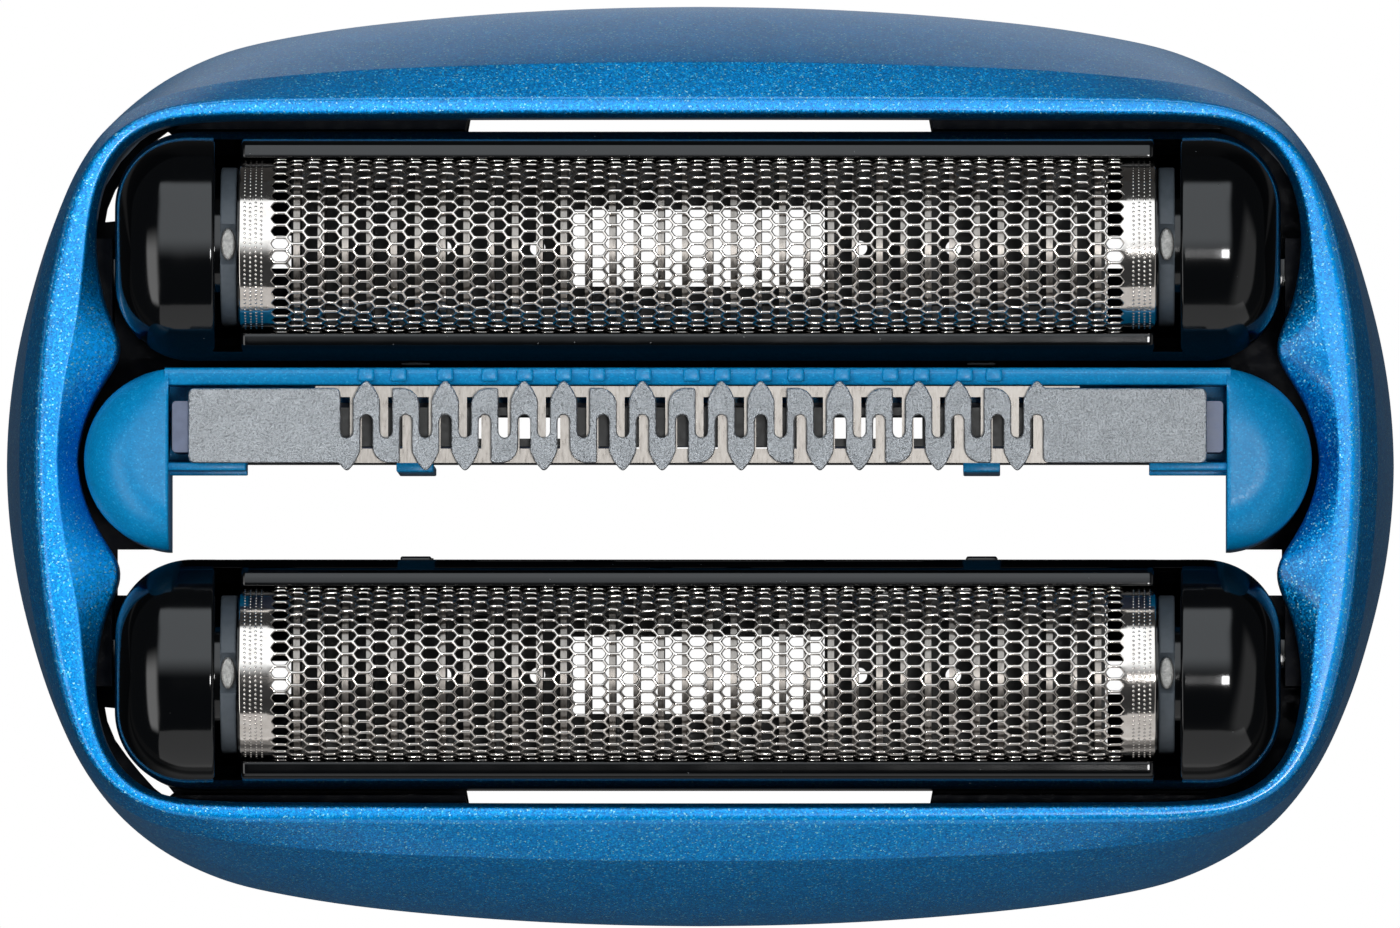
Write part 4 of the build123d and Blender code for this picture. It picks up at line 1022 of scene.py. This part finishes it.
# ---------------------------------------------------------------- coil springs
def build_springs(name, node, spots, r, wire, z0, z1, turns):
    bm = bmesh.new()
    per, sides = 28, 10
    for cx, cy in spots:
        rings = []
        n = turns * per + 1
        for i in range(n):
            u = i / (n - 1)
            # even pitch from end to end
            a = u * turns * 2 * math.pi
            z = z0 + wire + (z1 - z0 - 2 * wire) * u
            c = Vector((cx + r * math.cos(a), cy + r * math.sin(a), z))
            out = Vector((math.cos(a), math.sin(a), 0))
            ring = []
            for k in range(sides):
                b = 2 * math.pi * k / sides
                ring.append(bm.verts.new((c + out * (wire * math.cos(b)) + Vector((0, 0, wire * math.sin(b)))) * MM))
            rings.append(ring)
        for i in range(n - 1):
            for k in range(sides):
                kk = (k + 1) % sides
                bm.faces.new((rings[i][k], rings[i + 1][k], rings[i + 1][kk], rings[i][kk]))
        bm.faces.new(list(reversed(rings[0])))
        bm.faces.new(rings[-1])
    bmesh.ops.recalc_face_normals(bm, faces=bm.faces)
    o = new_piece(name, bm, node, 60)
    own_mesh(o)
    return o


build_outer_frame()
build_foil("rear_foil_sheet", "rear_foil", 1, 11)
build_foil("front_foil_sheet", "front_foil", -1, 23)
build_holder("rear_holder_body", "rear_foil_holder", 1)
build_holder("front_holder_body", "front_foil_holder", -1)
build_strips("rear_strips", "rear_foil_end_strips", 1)
build_strips("front_strips", "front_foil_end_strips", -1)
build_trimmer_holder()
build_comb()
build_springs("rear_foil_coils", "rear_foil_springs", [(-20.7, 8.3), (20.7, 8.3)], 0.95, 0.14, 5.2, 11.2, 7)
build_springs("front_foil_coils", "front_foil_springs", [(-20.7, -8.3), (20.7, -8.3)], 0.95, 0.14, 5.2, 11.2, 7)
build_springs("trimmer_coils", "trimmer_springs", [(-22.05, 0.0), (22.05, 0.0)], 0.8, 0.12, 5.2, 10.6, 7)

# ---------------------------------------------------------------- stage: floor, light, camera
scene = bpy.context.scene
scene.view_settings.view_transform = "Standard"
scene.view_settings.look = "None"

world = bpy.data.worlds.new("studio")
scene.world = world
world.use_nodes = True
world.node_tree.nodes["Background"].inputs["Color"].default_value = (0.90, 0.95, 1.0, 1)
world.node_tree.nodes["Background"].inputs["Strength"].default_value = 0.05

fl = bpy.data.meshes.new("floor")
bm = bmesh.new()
bmesh.ops.create_grid(bm, x_segments=1, y_segments=1, size=1.2, matrix=Matrix.Translation((0, 0, -0.00002)))
bm.to_mesh(fl)
bm.free()
floor = bpy.data.objects.new("floor", fl)
scene.collection.objects.link(floor)
fm = bpy.data.materials.new("floor_white")
fm.use_nodes = True
ft = fm.node_tree
ft.nodes.clear()
f_out = put(ft, "ShaderNodeOutputMaterial")
f_em = put(ft, "ShaderNodeEmission")
f_em.inputs["Color"].default_value = (1, 1, 1, 1)
lp = put(ft, "ShaderNodeLightPath")
fgeo = put(ft, "ShaderNodeNewGeometry")
fsep = put(ft, "ShaderNodeSeparateXYZ")
ft.links.new(fgeo.outputs["Position"], fsep.inputs[0])
depth_pos = put(ft, "ShaderNodeMapRange")
ft.links.new(fsep.outputs["Y"], depth_pos.inputs["Value"])
depth_pos.inputs["From Min"].default_value = -0.080
depth_pos.inputs["From Max"].default_value = 0.080
# glow of the table around the part: bright in front, dark close to it, middling behind
far = ramp(ft, depth_pos.outputs["Result"], [(0.0, grey(0.26)), (0.08, grey(0.10)), (0.18, grey(0.10)), (0.24, grey(0.32)), (0.34, grey(0.03)), (0.50, grey(0.06)),
                                             (0.595, grey(0.06)), (0.615, grey(0.40)), (0.64, grey(0.40)), (0.665, grey(0.06)), (0.82, grey(0.04))])
side_abs = math_node(ft, "ABSOLUTE", fsep.outputs["X"])
side_pos = put(ft, "ShaderNodeMapRange")
ft.links.new(side_abs, side_pos.inputs["Value"])
side_pos.inputs["From Min"].default_value = 0.024
side_pos.inputs["From Max"].default_value = 0.034
side_pos.inputs["To Min"].default_value = 1.0
side_pos.inputs["To Max"].default_value = 0.3
glow = math_node(ft, "MULTIPLY", far, side_pos.outputs["Result"])
cam_mix = put(ft, "ShaderNodeMix", data_type="FLOAT")
ft.links.new(lp.outputs["Is Camera Ray"], cam_mix.inputs["Factor"])
ft.links.new(glow, cam_mix.inputs["A"])
cam_mix.inputs["B"].default_value = 1.0
ft.links.new(cam_mix.outputs["Result"], f_em.inputs["Strength"])
ft.links.new(f_em.outputs[0], f_out.inputs["Surface"])
fl.materials.append(fm)


def area(name, at, turn, size_x, size_y, radiance, color=(1, 1, 1), fade=0.0):
    """Rectangular soft light whose face has the given brightness; unturned it shines straight down.
    With a fade its face dims towards the edges, over that share of each side."""
    d = bpy.data.lights.new(name, "AREA")
    d.shape = "RECTANGLE"
    size_x, size_y = size_x / (1 - fade), size_y / (1 - fade)
    d.size, d.size_y = size_x * MM, size_y * MM
    d.energy = radiance * math.pi * d.size * d.size_y
    d.color = color
    o = bpy.data.objects.new(name, d)
    scene.collection.objects.link(o)
    o.location = Vector(at) * MM
    o.rotation_euler = [math.radians(a) for a in turn]
    o.visible_camera = False
    if fade:
        d.use_nodes = True
        lt = d.node_tree
        em = next(n for n in lt.nodes if n.type == "EMISSION")
        at_uv = put(lt, "ShaderNodeSeparateXYZ")
        lt.links.new(put(lt, "ShaderNodeNewGeometry").outputs["Parametric"], at_uv.inputs[0])
        sides = []
        for axis in "XY":
            off = math_node(lt, "ABSOLUTE", math_node(lt, "SUBTRACT", at_uv.outputs[axis], 0.5))
            side = put(lt, "ShaderNodeMapRange", interpolation_type="SMOOTHSTEP")
            lt.links.new(off, side.inputs["Value"])
            side.inputs["From Min"].default_value = 0.5
            side.inputs["From Max"].default_value = 0.5 - fade
            sides.append(side.outputs["Result"])
        lt.links.new(math_node(lt, "MULTIPLY", sides[0], sides[1]), em.inputs["Strength"])
    return o


# overhead softbox from the zenith towards the rear
area("soft_top", (-13, 98.5, 121), (0, 0, 0), 110, 190, 1.75, (0.94, 1.0, 1.05), fade=0.18)
# large front card, standing
area("soft_front", (45, -170, 68), (90, 0, 0), 230, 136, 0.68)
# long strip on the left and broad dim card on the right, both running to the front
area("soft_left", (-118, -72, 131), (0, 0, 0), 80, 190, 2.8, fade=0.25)
area("soft_right", (165, -60, 125), (0, 0, -22), 170, 260, 0.55, fade=0.25)
# low standing cards all round, flagged off from all but the painted shell
shell_only = bpy.data.collections.new("shell_only")
shell_only.objects.link(bpy.data.objects["frame_shell"])
for card in (area("rear_card", (0, 170, 25), (-90, 0, 0), 230, 50, 2.2),
             area("front_card", (0, -170, 25), (90, 0, 0), 230, 50, 1.1),
             area("left_card", (-170, 0, 25), (0, -90, 0), 50, 150, 0.7),
             area("right_card", (170, 0, 25), (0, 90, 0), 50, 150, 0.9)):
    card.light_linking.receiver_collection = shell_only
# small hard light, far off
area("spark", (78, -70, 620), (0, 0, 0), 80, 80, 38)

cam_data = bpy.data.cameras.new("camera")
cam = bpy.data.objects.new("camera", cam_data)
scene.collection.objects.link(cam)
scene.camera = cam
cam_data.sensor_width = 36.0
cam_data.lens = 1000.0
cam_data.clip_start, cam_data.clip_end = 0.1, 10.0
WIDTH = 54.475         # mm across the picture at the height of the aim
aim = Vector((0.04, -0.04, 8.0))
dist = WIDTH * 1000.0 / 36.0
tilt_y, tilt_x = math.radians(1.25), math.radians(0.45)
back = Vector((math.tan(tilt_x), -math.tan(tilt_y), 1.0)).normalized()
cam.location = (aim + back * dist) * MM
look = -back
right = Vector((1, 0, 0)) - look * look.x
right.normalize()
up = right.cross(look)
cam.rotation_euler = Matrix((right, up, -look)).transposed().to_euler()
